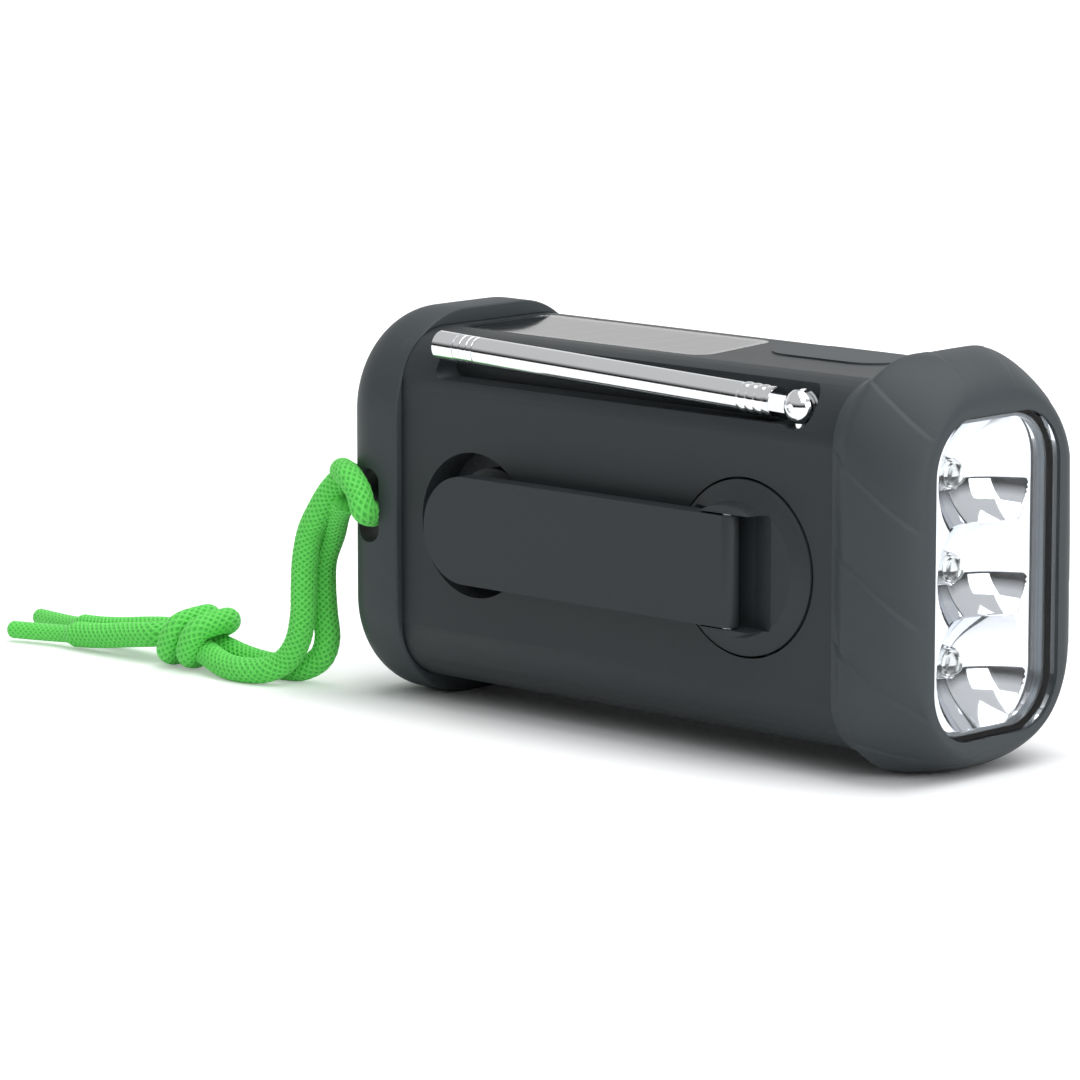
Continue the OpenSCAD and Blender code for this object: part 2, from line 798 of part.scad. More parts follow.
module antenna_tube(number)
  antenna_frame()
    difference() {
      translate([0, 0, section_start(number)])
        cylinder(r = section_r(number), h = section_end(number) - section_start(number));
      translate([0, 0, section_start(number) + 1])
        cylinder(r = section_r(number) - tube_wall, h = far);
    }

module antenna_section_2() color(steel) antenna_tube(2);

module antenna_section_3() color(steel) antenna_tube(3);

// The innermost section is a rod, and its end is pressed into the tip
module last_rod()
  antenna_frame()
    translate([0, 0, section_start(4)])
      cylinder(r = section_r(4), h = antenna_len - section_start(4) - 1);

module antenna_section_4() color(steel) last_rod();

module antenna_tip()
  color(steel)
    difference() {
      antenna_frame()
        translate([0, 0, antenna_len - cap_len])
          cylinder(r = cap_r, h = cap_len);
      last_rod();
    }

// Crank

module crank_hub()
  color(charcoal)
    difference() {
      union() {
        translate([hub_x, 0, hub_z])
          rotate([90, 0, 0])
            rotate_extrude()
              polygon([[0, -hub_base_y], [hub_r, -hub_base_y], [hub_r, side_y + rim_proud],
                [ear_r, rim_proud - ledge_y], [ear_r - 0.4, -hub_outer_y], [0, -hub_outer_y]]);
        rod_y(hub_x, hub_z, hub_base_y, shaft_end_y, shaft_r);
      }
      // slot for the arm, with a ramp up to the ledge that carries the unfolded arm
      translate([hub_x, 0, hub_z - slot_w / 2])
        linear_extrude(slot_w)
          polygon([[-far, -far], [-far, slot_floor_y], [ramp_x0, slot_floor_y],
            [ramp_x1, ledge_y], [far, ledge_y], [far, -far]]);
      translate([hub_x, pin_y, hub_z - pin_half])
        cylinder(r = pin_r, h = 2 * pin_half);
      difference() {
        rod_y(hub_x, hub_z, clip_y0, clip_y0 + clip_t, shaft_r + 1);
        rod_y(hub_x, hub_z, clip_y0, clip_y0 + clip_t, shaft_r - 0.5);
      }
    }

module crank_bush()
  color([0.80, 0.66, 0.36])
    difference() {
      rod_y(hub_x, hub_z, hub_seat_y, bush_y1, bush_r);
      rod_y(hub_x, hub_z, -far, far, shaft_r + running);
    }

module shaft_clip()
  color(steel)
    difference() {
      rod_y(hub_x, hub_z, clip_y0, clip_y0 + clip_t, shaft_r + 1.8);
      rod_y(hub_x, hub_z, -far, far, shaft_r - 0.5);
    }

module crank_pin()
  color(steel)
    translate([hub_x, pin_y, hub_z - pin_half])
      cylinder(r = pin_r, h = 2 * pin_half);

module crank_arm()
  color(charcoal)
    difference() {
      union() {
        along_y(arm_outer_y, arm_inner_y) {
          translate([tip_x, hub_z])
            circle(arm_w / 2);
          translate([tip_x, hub_z - arm_w / 2])
            square([arm_len, arm_w]);
        }
        translate([hub_x, pin_y, hub_z - arm_w / 2])
          cylinder(r = arm_end_r, h = arm_w);
      }
      translate([hub_x, pin_y, 0])
        cylinder(r = pin_r + running, h = far);
      difference() {
        rod_y(tip_x, hub_z, knob_pocket_y, far, knob_r + 0.2);
        rod_y(tip_x, hub_z, knob_pocket_y, clip_seat_y + 0.6, stud_r);
      }
    }

module crank_knob()
  color(charcoal)
    difference() {
      rod_y(tip_x, hub_z, knob_pocket_y + gap, arm_inner_y - gap, knob_r);
      rod_y(tip_x, hub_z, -far, far, stud_r + running);
      rod_y(tip_x, hub_z, clip_seat_y - gap, far, stud_r + 1.6);
    }

module knob_clip()
  color(steel)
    difference() {
      rod_y(tip_x, hub_z, clip_seat_y, clip_seat_y + 0.6, stud_r + 1.3);
      rod_y(tip_x, hub_z, -far, far, stud_r);
    }

// Gear train and dynamo

module crank_gear()
  color([0.86, 0.86, 0.80])
    difference() {
      gear_y(hub_x, hub_z, crank_gear_y0, crank_gear_y1, wheel_teeth, 0);
      rod_y(hub_x, hub_z, -far, far, shaft_r);
    }

module idler_gear()
  color([0.86, 0.86, 0.80])
    difference() {
      union() {
        gear_y(idler_x, idler_z, crank_gear_y0, idler_step_y, pinion_teeth, 180 / pinion_teeth);
        rod_y(idler_x, idler_z, idler_step_y, idler_wheel_y0, idler_pin_r + 2.2);
        gear_y(idler_x, idler_z, idler_wheel_y0, idler_wheel_y1, wheel_teeth, 180 - rotor_rise);
      }
      rod_y(idler_x, idler_z, -far, far, idler_pin_r + running);
    }

module idler_pin()
  color(steel)
    rod_y(idler_x, idler_z, -inner_y, plate_y1, idler_pin_r);

module gear_plate()
  color(steel)
    difference() {
      along_y(plate_y0, plate_y1) {
        for (place = plate_posts)
          translate(place)
            circle(plate_margin);
        polygon([plate_posts[0] - [plate_margin, 0], plate_posts[0] - [0, plate_margin],
          plate_posts[2] - [0, plate_margin], plate_posts[2] + [plate_margin, 0],
          plate_posts[1] + [plate_margin, 0], plate_posts[1] + [0, plate_margin],
          [rotor_x, rotor_z + can_r], [rotor_x - can_r, rotor_z]]);
      }
      rod_y(hub_x, hub_z, -far, far, shaft_r + running);
      rod_y(idler_x, idler_z, -far, far, idler_pin_r);
      rod_y(rotor_x, rotor_z, -far, far, rotor_shaft_r + running);
      for (place = plate_posts)
        rod_y(place[0], place[1], -far, far, plate_screw_r);
    }

module plate_screws()
  color(steel)
    for (place = plate_posts) {
      rod_y(place[0], place[1], plate_y0 - plate_screw_len, plate_y1, plate_screw_r);
      rod_y(place[0], place[1], plate_y1, plate_y1 + plate_head_t, plate_head_r);
    }

module dynamo_rotor()
  color([0.45, 0.46, 0.48]) {
    rod_y(rotor_x, rotor_z, idler_wheel_y0, can_y1, rotor_shaft_r);
    gear_y(rotor_x, rotor_z, idler_wheel_y0, idler_wheel_y1, pinion_teeth,
      -rotor_rise + 180 / pinion_teeth);
    rod_y(rotor_x, rotor_z, plate_y1 + can_clear, can_y1 - can_wall - can_clear, coil_r - air_gap);
  }

module dynamo_can()
  color(steel)
    difference() {
      rod_y(rotor_x, rotor_z, plate_y1, can_y1, can_r);
      rod_y(rotor_x, rotor_z, -far, can_y1 - can_wall, can_r - can_wall);
      rod_y(rotor_x, rotor_z, -far, far, rotor_shaft_r + running);
    }

module stator_coil()
  color([0.72, 0.42, 0.20])
    difference() {
      rod_y(rotor_x, rotor_z, plate_y1 + can_clear, can_y1 - can_wall - can_clear, can_r - can_wall);
      rod_y(rotor_x, rotor_z, -far, far, coil_r);
    }

// Far side: loudspeaker, board, controls, charging socket and battery

module speaker_frame()
  color([0.35, 0.36, 0.37])
    difference() {
      union() {
        rod_y(speaker_x, speaker_z, inner_y - 3, inner_y - 0.1, speaker_r - gap);
        rod_y(speaker_x, speaker_z, inner_y - speaker_depth + 3, inner_y - 3, speaker_r - 4);
        rod_y(speaker_x, speaker_z, inner_y - speaker_depth, inner_y - speaker_depth + 3, speaker_r - 5.5);
      }
      rod_y(speaker_x, speaker_z, inner_y - 2.4, far, speaker_r - 1.5);
      rod_y(speaker_x, speaker_z, inner_y - 5.5, far, speaker_r - 5.5);
    }

module speaker_cone()
  color([0.12, 0.12, 0.12])
    translate([speaker_x, inner_y - 2.4, speaker_z])
      rotate([-90, 0, 0])
        rotate_extrude()
          polygon([[0, -2.6], [3, -2.6], [speaker_r - 6, 0], [speaker_r - 1.6, 0], [speaker_r - 1.6, 0.6],
            [speaker_r - 6, 0.8], [3, -1.8], [0, -1.8]]);

module main_board()
  color(board_green)
    difference() {
      block(board_x0, board_x1, board_y0, board_y1, board_z0, board_z1);
      for (place = board_posts)
        rod_y(place[0], place[1], -far, far, board_screw_r);
    }

module board_screws()
  color(steel)
    for (place = board_posts) {
      rod_y(place[0], place[1], board_y0, board_y1 + 3.5, board_screw_r);
      rod_y(place[0], place[1], board_y0 - 1, board_y0, board_screw_r + 0.8);
    }

module tuning_capacitor()
  color([0.85, 0.83, 0.75])
    block(tuning_x - 6, tuning_x + 6, board_y1, control_y1, tuning_z - 6, tuning_z + 6);

module volume_pot()
  color([0.55, 0.56, 0.58])
    block(volume_x - 4.5, volume_x + 4.5, board_y1, control_y1, volume_z - 4.5, volume_z + 4.5);

module band_switch()
  color([0.55, 0.56, 0.58])
    block(slider_x - 4, slider_x + 4 + slider_travel, board_y1, control_y1 - 0.5, slider_z - 2.4,
      slider_z + 2.4);

module torch_switch()
  color([0.15, 0.15, 0.15])
    block(button_x + button_len / 2 - 3, button_x + button_len / 2 + 3, board_y0 - 3, board_y1, board_z1,
      inner_top - 1 - gap - button_travel - gap);

// A round control knob with a finger groove round its rim
module control_knob(x, z, r) {
  difference() {
    rod_y(x, z, knob_seat_y + gap, knob_face_y, r);
    rod_y(x, z, knob_face_y - 0.6, far, r - 1.4);
    for (angle = [0 : 15 : 345])
      rod_y(x + r * cos(angle), z + r * sin(angle), side_y + 0.2, far, 0.4);
  }
  rod_y(x, z, control_y1 + gap, knob_seat_y + gap, knob_shaft_r);
}

module tuning_knob() color(charcoal) control_knob(tuning_x, tuning_z, tuning_r);

module volume_knob() color(charcoal) control_knob(volume_x, volume_z, volume_r);

module band_slider()
  color(charcoal)
    block(slider_x - 2, slider_x + 2, control_y1 - 0.5 + gap, side_y + 0.8, slider_z - 1.5, slider_z + 1.5);

module charge_socket()
  color(steel)
    difference() {
      block(socket_x - socket_w / 2, socket_x + socket_w / 2, inner_y - 5, cover_seat_y - gap,
        socket_z - socket_h / 2, socket_z + socket_h / 2);
      block(socket_x - socket_w / 2 + 0.4, socket_x + socket_w / 2 - 0.4, inner_y - 4, far,
        socket_z - socket_h / 2 + 0.4, socket_z + socket_h / 2 - 0.4);
    }

module port_cover()
  color(charcoal) {
    block(socket_x - cover_w / 2, socket_x + cover_w / 2, cover_seat_y + gap, side_y,
      socket_z - cover_h / 2, socket_z + cover_h / 2 - cover_hinge_r);
    translate([socket_x - cover_w / 2, side_y - cover_hinge_r, socket_z + cover_h / 2 - cover_hinge_r])
      rotate([0, 90, 0])
        cylinder(r = cover_hinge_r, h = cover_w);
  }

module battery_cell()
  color([0.20, 0.35, 0.60])
    translate([cell_x0, cell_y, cell_z])
      rotate([0, 90, 0])
        cylinder(r = cell_r, h = cell_len);

module case_screws()
  color(steel)
    for (place = case_screw_places) {
      rod_y(place[0], place[1], screw_tip_y, screw_seat_y, screw_r);
      rod_y(place[0], place[1], screw_seat_y, screw_seat_y + 2, screw_head_r);
    }

// Lanyard

module lanyard_hitch() color(cord_green) cord(hitch_route, cord_d / 2);

module lanyard_strand_a() color(cord_green) cord(strand_a_route, cord_d / 2);

module lanyard_strand_b() color(cord_green) cord(strand_b_route, cord_d / 2);

module lanyard_knot()
  color(cord_green)
    translate(knot_centre + [tail_end, 0, 0])
      resize(knot_size)
        sphere(1, $fn = 24);

module lanyard_tail_a() color(cord_green) cord(tail_a_route, cord_d / 2);

module lanyard_tail_b() color(cord_green) cord(tail_b_route, cord_d / 2);

rear_shell();
front_shell();
tail_bumper();
torch_head();
lens();
lens_seal();
reflector();
leds();
led_board();
solar_window();
solar_cell();
torch_button();
antenna_foot();
antenna_pin();
antenna_barrel();
antenna_section_2();
antenna_section_3();
antenna_section_4();
antenna_tip();
crank_hub();
crank_bush();
shaft_clip();
crank_arm();
crank_pin();
crank_knob();
knob_clip();
crank_gear();
idler_gear();
idler_pin();
gear_plate();
plate_screws();
dynamo_rotor();
dynamo_can();
stator_coil();
speaker_frame();
speaker_cone();
main_board();
tuning_capacitor();
volume_pot();
band_switch();
torch_switch();
board_screws();
tuning_knob();
volume_knob();
band_slider();
charge_socket();
port_cover();
battery_cell();
case_screws();
lanyard_hitch();
lanyard_strand_a();
lanyard_strand_b();
lanyard_knot();
lanyard_tail_a();
lanyard_tail_b();
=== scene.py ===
# %% [markdown]
# # A pocket crank radio
# The radio lies on a pale table: a charcoal body with a torch at one end, a folding crank and a
# telescopic antenna on its side, a solar window on its top and a green cord through its tail.
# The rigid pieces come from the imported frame, in metres, and this file dresses them.

# %% Load the frame
import json
import math
import bmesh
import bpy
import numpy as np
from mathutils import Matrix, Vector


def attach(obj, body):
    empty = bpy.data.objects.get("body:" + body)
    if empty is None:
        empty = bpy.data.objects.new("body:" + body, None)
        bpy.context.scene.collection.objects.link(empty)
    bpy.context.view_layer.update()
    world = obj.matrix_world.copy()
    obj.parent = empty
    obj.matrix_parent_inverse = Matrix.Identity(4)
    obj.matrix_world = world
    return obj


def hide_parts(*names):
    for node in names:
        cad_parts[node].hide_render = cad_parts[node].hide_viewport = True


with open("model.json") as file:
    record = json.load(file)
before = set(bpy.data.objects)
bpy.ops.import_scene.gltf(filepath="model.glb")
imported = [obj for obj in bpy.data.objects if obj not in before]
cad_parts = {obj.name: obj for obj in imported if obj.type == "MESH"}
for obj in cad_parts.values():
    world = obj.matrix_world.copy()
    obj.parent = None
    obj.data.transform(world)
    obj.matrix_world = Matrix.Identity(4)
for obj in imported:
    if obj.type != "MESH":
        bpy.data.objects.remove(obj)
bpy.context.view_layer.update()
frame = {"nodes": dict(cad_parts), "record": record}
nodes = frame["nodes"]
MM = 0.001

# %% [markdown]
# ## The camera
# The photograph was taken with a long lens from a little above the table, so the radio's long edges
# stay nearly parallel. The camera stands on a line through a target point, at the angle and distance
# that were solved from the radio's corners.

# %% Camera
PHOTO_PX = 1080
FOCAL_PX = 5761
SENSOR_MM = 36
AZIMUTH = math.radians(43.8)
ELEVATION = math.radians(9.42)
CAMERA_DISTANCE = 0.97756
TARGET = np.array([-0.03755, 0.0, 0.02655])


def add_camera():
    """A camera that looks at the target from the solved azimuth, elevation and distance."""
    back = np.array([math.sin(AZIMUTH) * math.cos(ELEVATION),
                     -math.cos(AZIMUTH) * math.cos(ELEVATION), math.sin(ELEVATION)])
    data = bpy.data.cameras.new("camera")
    data.sensor_width = SENSOR_MM
    data.sensor_fit = "HORIZONTAL"
    data.lens = SENSOR_MM * FOCAL_PX / PHOTO_PX
    data.clip_start = 0.05
    camera = bpy.data.objects.new("camera", data)
    camera.location = TARGET + back * CAMERA_DISTANCE
    camera.rotation_euler = (math.pi / 2 - ELEVATION, 0, AZIMUTH)
    bpy.context.scene.collection.objects.link(camera)
    bpy.context.scene.camera = camera
    return camera


camera = add_camera()
bpy.context.scene.view_settings.view_transform = "Standard"
print("camera at", [round(c, 4) for c in camera.location])

# %% [markdown]
# ## Surfaces from numpy
# Every new piece of the radio is a sheet of points worked out as one array: rows along the piece, columns
# round or across it. One helper turns a grid that goes round into a tube and gives it a UV map, whose
# first number runs once round the tube and whose second grows by the spacing from row to row. On the cord
# that is in millimetres, and its braid is painted on that map.

# %% Grid helpers
def mesh_object(name, points, faces, corner_uv=None):
    """A smooth mesh object from points in millimetres and a list of faces."""
    mesh = bpy.data.meshes.new(name)
    mesh.from_pydata((np.asarray(points) * MM).tolist(), [], faces)
    if corner_uv is not None:
        layer = mesh.uv_layers.new(name="UVMap")
        layer.data.foreach_set("uv", np.asarray(corner_uv, dtype=np.float32).ravel())
    mesh.polygons.foreach_set("use_smooth", np.ones(len(mesh.polygons), dtype=bool))
    obj = bpy.data.objects.new(name, mesh)
    bpy.context.scene.collection.objects.link(obj)
    return obj


def grid_object(name, grid, close_rows=False, caps=False, spacing=1.0):
    """A tube from a (rows, columns, 3) grid in millimetres: columns wrap round, and the ends are
    joined to each other (close_rows) or filled (caps). The map's second number is row times spacing."""
    rows, columns = grid.shape[:2]
    row = np.arange(rows if close_rows else rows - 1)[:, None]
    column = np.arange(columns)[None, :]
    corners = [(row, column), (row, column + 1), (row + 1, column + 1), (row + 1, column)]
    faces = np.stack([(r % rows) * columns + c % columns for r, c in corners], axis=-1)
    uv = np.stack([np.stack(np.broadcast_arrays(c / columns, r * spacing), axis=-1) for r, c in corners],
                  axis=-2)
    faces = faces.reshape(-1, 4).tolist()
    uv = uv.reshape(-1, 2)
    if caps:
        faces.append(list(range(columns))[::-1])
        faces.append(list(range((rows - 1) * columns, rows * columns)))
        uv = np.vstack([uv, np.zeros((2 * columns, 2))])
    obj = mesh_object(name, grid.reshape(-1, 3), faces, uv)
    return outward(obj)


def outward(obj):
    """Turns a closed mesh's faces outwards."""
    work = bmesh.new()
    work.from_mesh(obj.data)
    bmesh.ops.recalc_face_normals(work, faces=work.faces)
    work.to_mesh(obj.data)
    work.free()
    return obj


def unit(vectors):
    """Vectors of length 1."""
    return vectors / np.linalg.norm(vectors, axis=-1, keepdims=True)


def lathe(name, profile, place, ahead, columns=64):
    """A turned ring: the profile's closed loop of (distance, radius) pairs goes round a line from place
    along ahead, a direction of length 1."""
    side = unit(np.cross(ahead, [0, 1, 0]))
    upward = np.cross(ahead, side)
    turn = np.linspace(0, 2 * np.pi, columns, endpoint=False)[:, None]
    spoke = np.cos(turn) * side + np.sin(turn) * upward
    profile = np.array(profile)
    grid = place + profile[:, 0, None, None] * ahead + profile[:, 1, None, None] * spoke
    return grid_object(name, grid, close_rows=True)


def soften(obj, width, segments=3, angle=40):
    """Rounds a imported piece's sharp edges with a narrow bevel, as a mould does."""
    weld = obj.modifiers.new("weld", "WELD")
    weld.merge_threshold = 0.00001
    bevel = obj.modifiers.new("soft edges", "BEVEL")
    bevel.width = width * MM
    bevel.segments = segments
    bevel.limit_method = "ANGLE"
    bevel.angle_limit = math.radians(angle)
    bevel.harden_normals = True


def box_of(name):
    """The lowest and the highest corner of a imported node, in millimetres."""
    corners = np.array([vertex.co for vertex in nodes[name].data.vertices]) / MM
    return corners.min(axis=0), corners.max(axis=0)


# %% [markdown]
# ## Finishes
# Each finish is a Principled shader with small variations of colour and a bump. Two effects are node
# groups: the fine grain of spark-eroded moulded plastic, with a slow cloudiness that keeps large plain
# faces from looking computed, which most finishes share, and the yarns of a braided cord.

# %% Node groups
def new_group(name, inputs, outputs):
    """An empty shader node group with float inputs (name, default) and outputs (name, socket type)."""
    group = bpy.data.node_groups.new(name, "ShaderNodeTree")
    for label, default in inputs:
        socket = group.interface.new_socket(label, in_out="INPUT", socket_type="NodeSocketFloat")
        socket.default_value = default
    for label, kind in outputs:
        group.interface.new_socket(label, in_out="OUTPUT", socket_type=kind)
    return group, group.nodes.new("NodeGroupInput"), group.nodes.new("NodeGroupOutput")


def number_node(tree, operation, first, second):
    """A math node; each input is a socket to link or a plain number."""
    node = tree.nodes.new("ShaderNodeMath")
    node.operation = operation
    for socket, value in zip(node.inputs, (first, second)):
        if isinstance(value, (int, float)):
            socket.default_value = value
        else:
            tree.links.new(value, socket)
    return node.outputs["Value"]


def ramp_node(tree, value, low, high, start, end):
    """A clamped ramp: start where the value is low or less, end where it is high or more."""
    node = tree.nodes.new("ShaderNodeMapRange")
    tree.links.new(value, node.inputs["Value"])
    for label, number in (("From Min", low), ("From Max", high), ("To Min", start), ("To Max", end)):
        node.inputs[label].default_value = number
    return node.outputs["Result"]


def moulded_grain_group():
    """Grain height from two noises on object coordinates, and a slow cloud from 0 to 1."""
    group, given, result = new_group(
        "moulded grain", [("Grain Scale", 2600.0), ("Cloud Scale", 45.0)],
        [("Height", "NodeSocketFloat"), ("Cloud", "NodeSocketFloat")])
    place = group.nodes.new("ShaderNodeTexCoord")
    fine = group.nodes.new("ShaderNodeTexNoise")
    fine.inputs["Detail"].default_value = 3.0
    cloud = group.nodes.new("ShaderNodeTexNoise")
    cloud.inputs["Detail"].default_value = 4.0
    link = group.links.new
    link(place.outputs["Object"], fine.inputs["Vector"])
    link(place.outputs["Object"], cloud.inputs["Vector"])
    link(given.outputs["Grain Scale"], fine.inputs["Scale"])
    link(given.outputs["Cloud Scale"], cloud.inputs["Scale"])
    link(fine.outputs["Fac"], result.inputs["Height"])
    link(cloud.outputs["Fac"], result.inputs["Cloud"])
    return group


GRAIN = moulded_grain_group()


def braid_group():
    """Height of a cord's yarns from 0 to 1 on the cord's own map, which runs once round the cord and in
    millimetres along it: the higher of two cosines that wind in opposite senses."""
    group, given, result = new_group("braid yarns", [("Yarns", 10.0), ("Crossings", 0.9)],
                                     [("Height", "NodeSocketFloat")])
    place = group.nodes.new("ShaderNodeTexCoord")
    parts = group.nodes.new("ShaderNodeSeparateXYZ")
    group.links.new(place.outputs["UV"], parts.inputs["Vector"])
    around = number_node(group, "MULTIPLY", parts.outputs["X"], given.outputs["Yarns"])
    along = number_node(group, "MULTIPLY", parts.outputs["Y"], given.outputs["Crossings"])
    waves = []
    for sense in ("ADD", "SUBTRACT"):
        angle = number_node(group, "MULTIPLY", number_node(group, sense, around, along), 2 * math.pi)
        waves.append(number_node(group, "COSINE", angle, 0.0))
    top = number_node(group, "MAXIMUM", *waves)
    group.links.new(ramp_node(group, top, -1.0, 1.0, 0.0, 1.0), result.inputs["Height"])
    return group


BRAID = braid_group()


# %% [markdown]
# A few short helpers put the nodes that every finish needs into its tree and hand back the socket to
# link from: a colour between two others, a bump, and a node group with its inputs set.

# %% Materials
ROUGHNESS_DRIFT = 0.05
GRAIN_DEPTH = 0.00005
CLOUD_SCALE = 45.0


def new_material(name):
    """A material with its Principled shader, and the shader."""
    material = bpy.data.materials.new(name)
    material.use_nodes = True
    return material, material.node_tree.nodes["Principled BSDF"]


def tint_node(tree, factor, low, high):
    """A colour that goes from low, where the factor is 0, to high, where it is 1."""
    node = tree.nodes.new("ShaderNodeMix")
    node.data_type = "RGBA"
    node.inputs["A"].default_value = (*low, 1)
    node.inputs["B"].default_value = (*high, 1)
    tree.links.new(factor, node.inputs["Factor"])
    return node.outputs["Result"]


def bump_node(tree, height, strength, distance):
    """A normal that leans as a surface with this height does, where 1 is the distance in metres."""
    node = tree.nodes.new("ShaderNodeBump")
    node.inputs["Strength"].default_value = strength
    node.inputs["Distance"].default_value = distance
    tree.links.new(height, node.inputs["Height"])
    return node.outputs["Normal"]


def group_node(tree, group, values):
    """A node group in the tree, with its inputs set to the values."""
    node = tree.nodes.new("ShaderNodeGroup")
    node.node_tree = group
    for label, value in values.items():
        node.inputs[label].default_value = value
    return node


def grained(name, dark, light, roughness, grain_scale, bump, cloud_scale=CLOUD_SCALE, metallic=0.0,
            specular=0.5):
    """A moulded finish: colour and roughness drift with the cloud, and the grain gives a fine bump."""
    material, shader = new_material(name)
    tree = material.node_tree
    shader.inputs["Metallic"].default_value = metallic
    shader.inputs["Specular IOR Level"].default_value = specular
    grain = group_node(tree, GRAIN, {"Grain Scale": grain_scale, "Cloud Scale": cloud_scale})
    cloud = grain.outputs["Cloud"]
    colour = tint_node(tree, cloud, dark, light)
    rough = ramp_node(tree, cloud, 0.0, 1.0, roughness - ROUGHNESS_DRIFT, roughness + ROUGHNESS_DRIFT)
    normal = bump_node(tree, grain.outputs["Height"], bump, GRAIN_DEPTH)
    tree.links.new(colour, shader.inputs["Base Color"])
    tree.links.new(rough, shader.inputs["Roughness"])
    tree.links.new(normal, shader.inputs["Normal"])
    return material


def linear(r, g, b):
    """A screen colour from 0 to 255 as linear light."""
    screen = np.array([r, g, b]) / 255
    return tuple(np.where(screen <= 0.04045, screen / 12.92, ((screen + 0.055) / 1.055) ** 2.4))


casing_finish = grained("casing plastic", linear(40, 45, 48), linear(44, 49, 52),
                        roughness=0.5, grain_scale=2600, bump=0.35, specular=0.33)
rubber_finish = grained("rubber coat", linear(55, 61, 64), linear(60, 66, 69),
                        roughness=0.55, grain_scale=3200, bump=0.3, specular=0.33)
seal_finish = grained("seal rubber", linear(22, 22, 23), linear(30, 30, 31),
                      roughness=0.6, grain_scale=2200, bump=0.2)
chrome_finish = grained("antenna chrome", linear(228, 230, 232), linear(238, 240, 242),
                        roughness=0.1, grain_scale=900, bump=0.02, metallic=1.0)
mirror_finish = grained("reflector chrome", linear(232, 235, 240), linear(244, 246, 250),
                        roughness=0.06, grain_scale=600, bump=0.03, metallic=1.0)
collar_finish = grained("collar satin", linear(112, 118, 122), linear(126, 132, 136),
                        roughness=0.3, grain_scale=900, bump=0.05, metallic=0.7)
steel_finish = grained("plain steel", linear(165, 168, 172), linear(185, 188, 192),
                       roughness=0.32, grain_scale=1400, bump=0.12, cloud_scale=60, metallic=1.0)
bronze_finish = grained("bush bronze", linear(176, 140, 84), linear(196, 160, 100),
                        roughness=0.35, grain_scale=1400, bump=0.12, cloud_scale=60, metallic=1.0)
copper_finish = grained("coil copper", linear(170, 98, 52), linear(196, 120, 70),
                        roughness=0.35, grain_scale=900, bump=0.3, cloud_scale=60, metallic=0.9)
gear_finish = grained("gear plastic", linear(212, 210, 196), linear(226, 224, 212),
                      roughness=0.42, grain_scale=1800, bump=0.15)
board_finish = grained("solder mask", linear(24, 84, 52), linear(34, 104, 66),
                       roughness=0.35, grain_scale=700, bump=0.15)
part_finish = grained("component plastic", linear(96, 96, 94), linear(120, 120, 116),
                      roughness=0.45, grain_scale=1600, bump=0.2)
paper_finish = grained("speaker paper", linear(26, 26, 27), linear(38, 38, 39),
                       roughness=0.85, grain_scale=1500, bump=0.6)
cell_finish = grained("cell wrap", linear(40, 84, 150), linear(52, 98, 166),
                      roughness=0.3, grain_scale=500, bump=0.08)

# %% [markdown]
# The cord is woven nylon with a soft sheen. Its colour carries painted light and shade: lighter where a yarn
# crosses over, darker in the dips between the yarns.

# %% Cord finish
YARNS = 10
BRAID_PITCH = 11.0


def cord_material():
    """Green nylon: the yarns' height gives a bump and lightens its colour, a painted shade in the dips and
    painted light on the crests.
    """
    material, shader = new_material("lanyard cord")
    tree = material.node_tree
    shader.inputs["Roughness"].default_value = 0.62
    shader.inputs["Sheen Weight"].default_value = 0.15
    braid = group_node(tree, BRAID, {"Yarns": YARNS, "Crossings": YARNS / BRAID_PITCH})
    height = braid.outputs["Height"]
    # painted shade: the colour is darker in the dips between the yarns and lighter on their crests, as light
    # and shade would make it
    colour = tint_node(tree, height, linear(56, 184, 58), linear(106, 230, 94))
    tree.links.new(colour, shader.inputs["Base Color"])
    tree.links.new(bump_node(tree, height, strength=0.5, distance=0.0002), shader.inputs["Normal"])
    return material


cord_finish = cord_material()

# %% [markdown]
# Clear pieces are glass-like: the torch lens is polished, so it needs only its transmission, a low
# roughness and a trace of waviness. The solar window is a little duller, and the LEDs are small clear
# domes. Below the solar window lies the cell, dark silicon with fine silver lines.

# %% Clear finishes
WAVINESS_SCALE = 120
SILVER_LINES = 55
SILVER_CREST = (0.97, 1.0)


def clear(name, colour, roughness, ior):
    """A transparent plastic with a faint waviness in its surface."""
    material, shader = new_material(name)
    tree = material.node_tree
    shader.inputs["Base Color"].default_value = (*colour, 1)
    shader.inputs["Transmission Weight"].default_value = 1.0
    shader.inputs["IOR"].default_value = ior
    shader.inputs["Roughness"].default_value = roughness
    grain = group_node(tree, GRAIN, {"Grain Scale": WAVINESS_SCALE})
    normal = bump_node(tree, grain.outputs["Height"], strength=0.02, distance=0.0001)
    tree.links.new(normal, shader.inputs["Normal"])
    return material


def silicon_material():
    """Dark silicon with fine silver lines: a wave along X on object coordinates, silver at its crests."""
    material, shader = new_material("solar silicon")
    tree = material.node_tree
    place = tree.nodes.new("ShaderNodeTexCoord")
    wave = tree.nodes.new("ShaderNodeTexWave")
    wave.bands_direction = "X"
    wave.inputs["Scale"].default_value = SILVER_LINES
    tree.links.new(place.outputs["Object"], wave.inputs["Vector"])
    crest = ramp_node(tree, wave.outputs["Fac"], *SILVER_CREST, 0.0, 1.0)
    colour = tint_node(tree, crest, linear(24, 26, 38), linear(150, 152, 156))
    tree.links.new(colour, shader.inputs["Base Color"])
    shader.inputs["Roughness"].default_value = 0.25
    return material


lens_finish = clear("lens clear", (0.97, 0.98, 0.99), roughness=0.02, ior=1.2)
solar_clear_finish = clear("solar clear", (0.9, 0.92, 0.93), roughness=0.08, ior=1.45)
led_finish = clear("led dome", (0.86, 0.86, 0.82), roughness=0.12, ior=1.4)
silicon_finish = silicon_material()

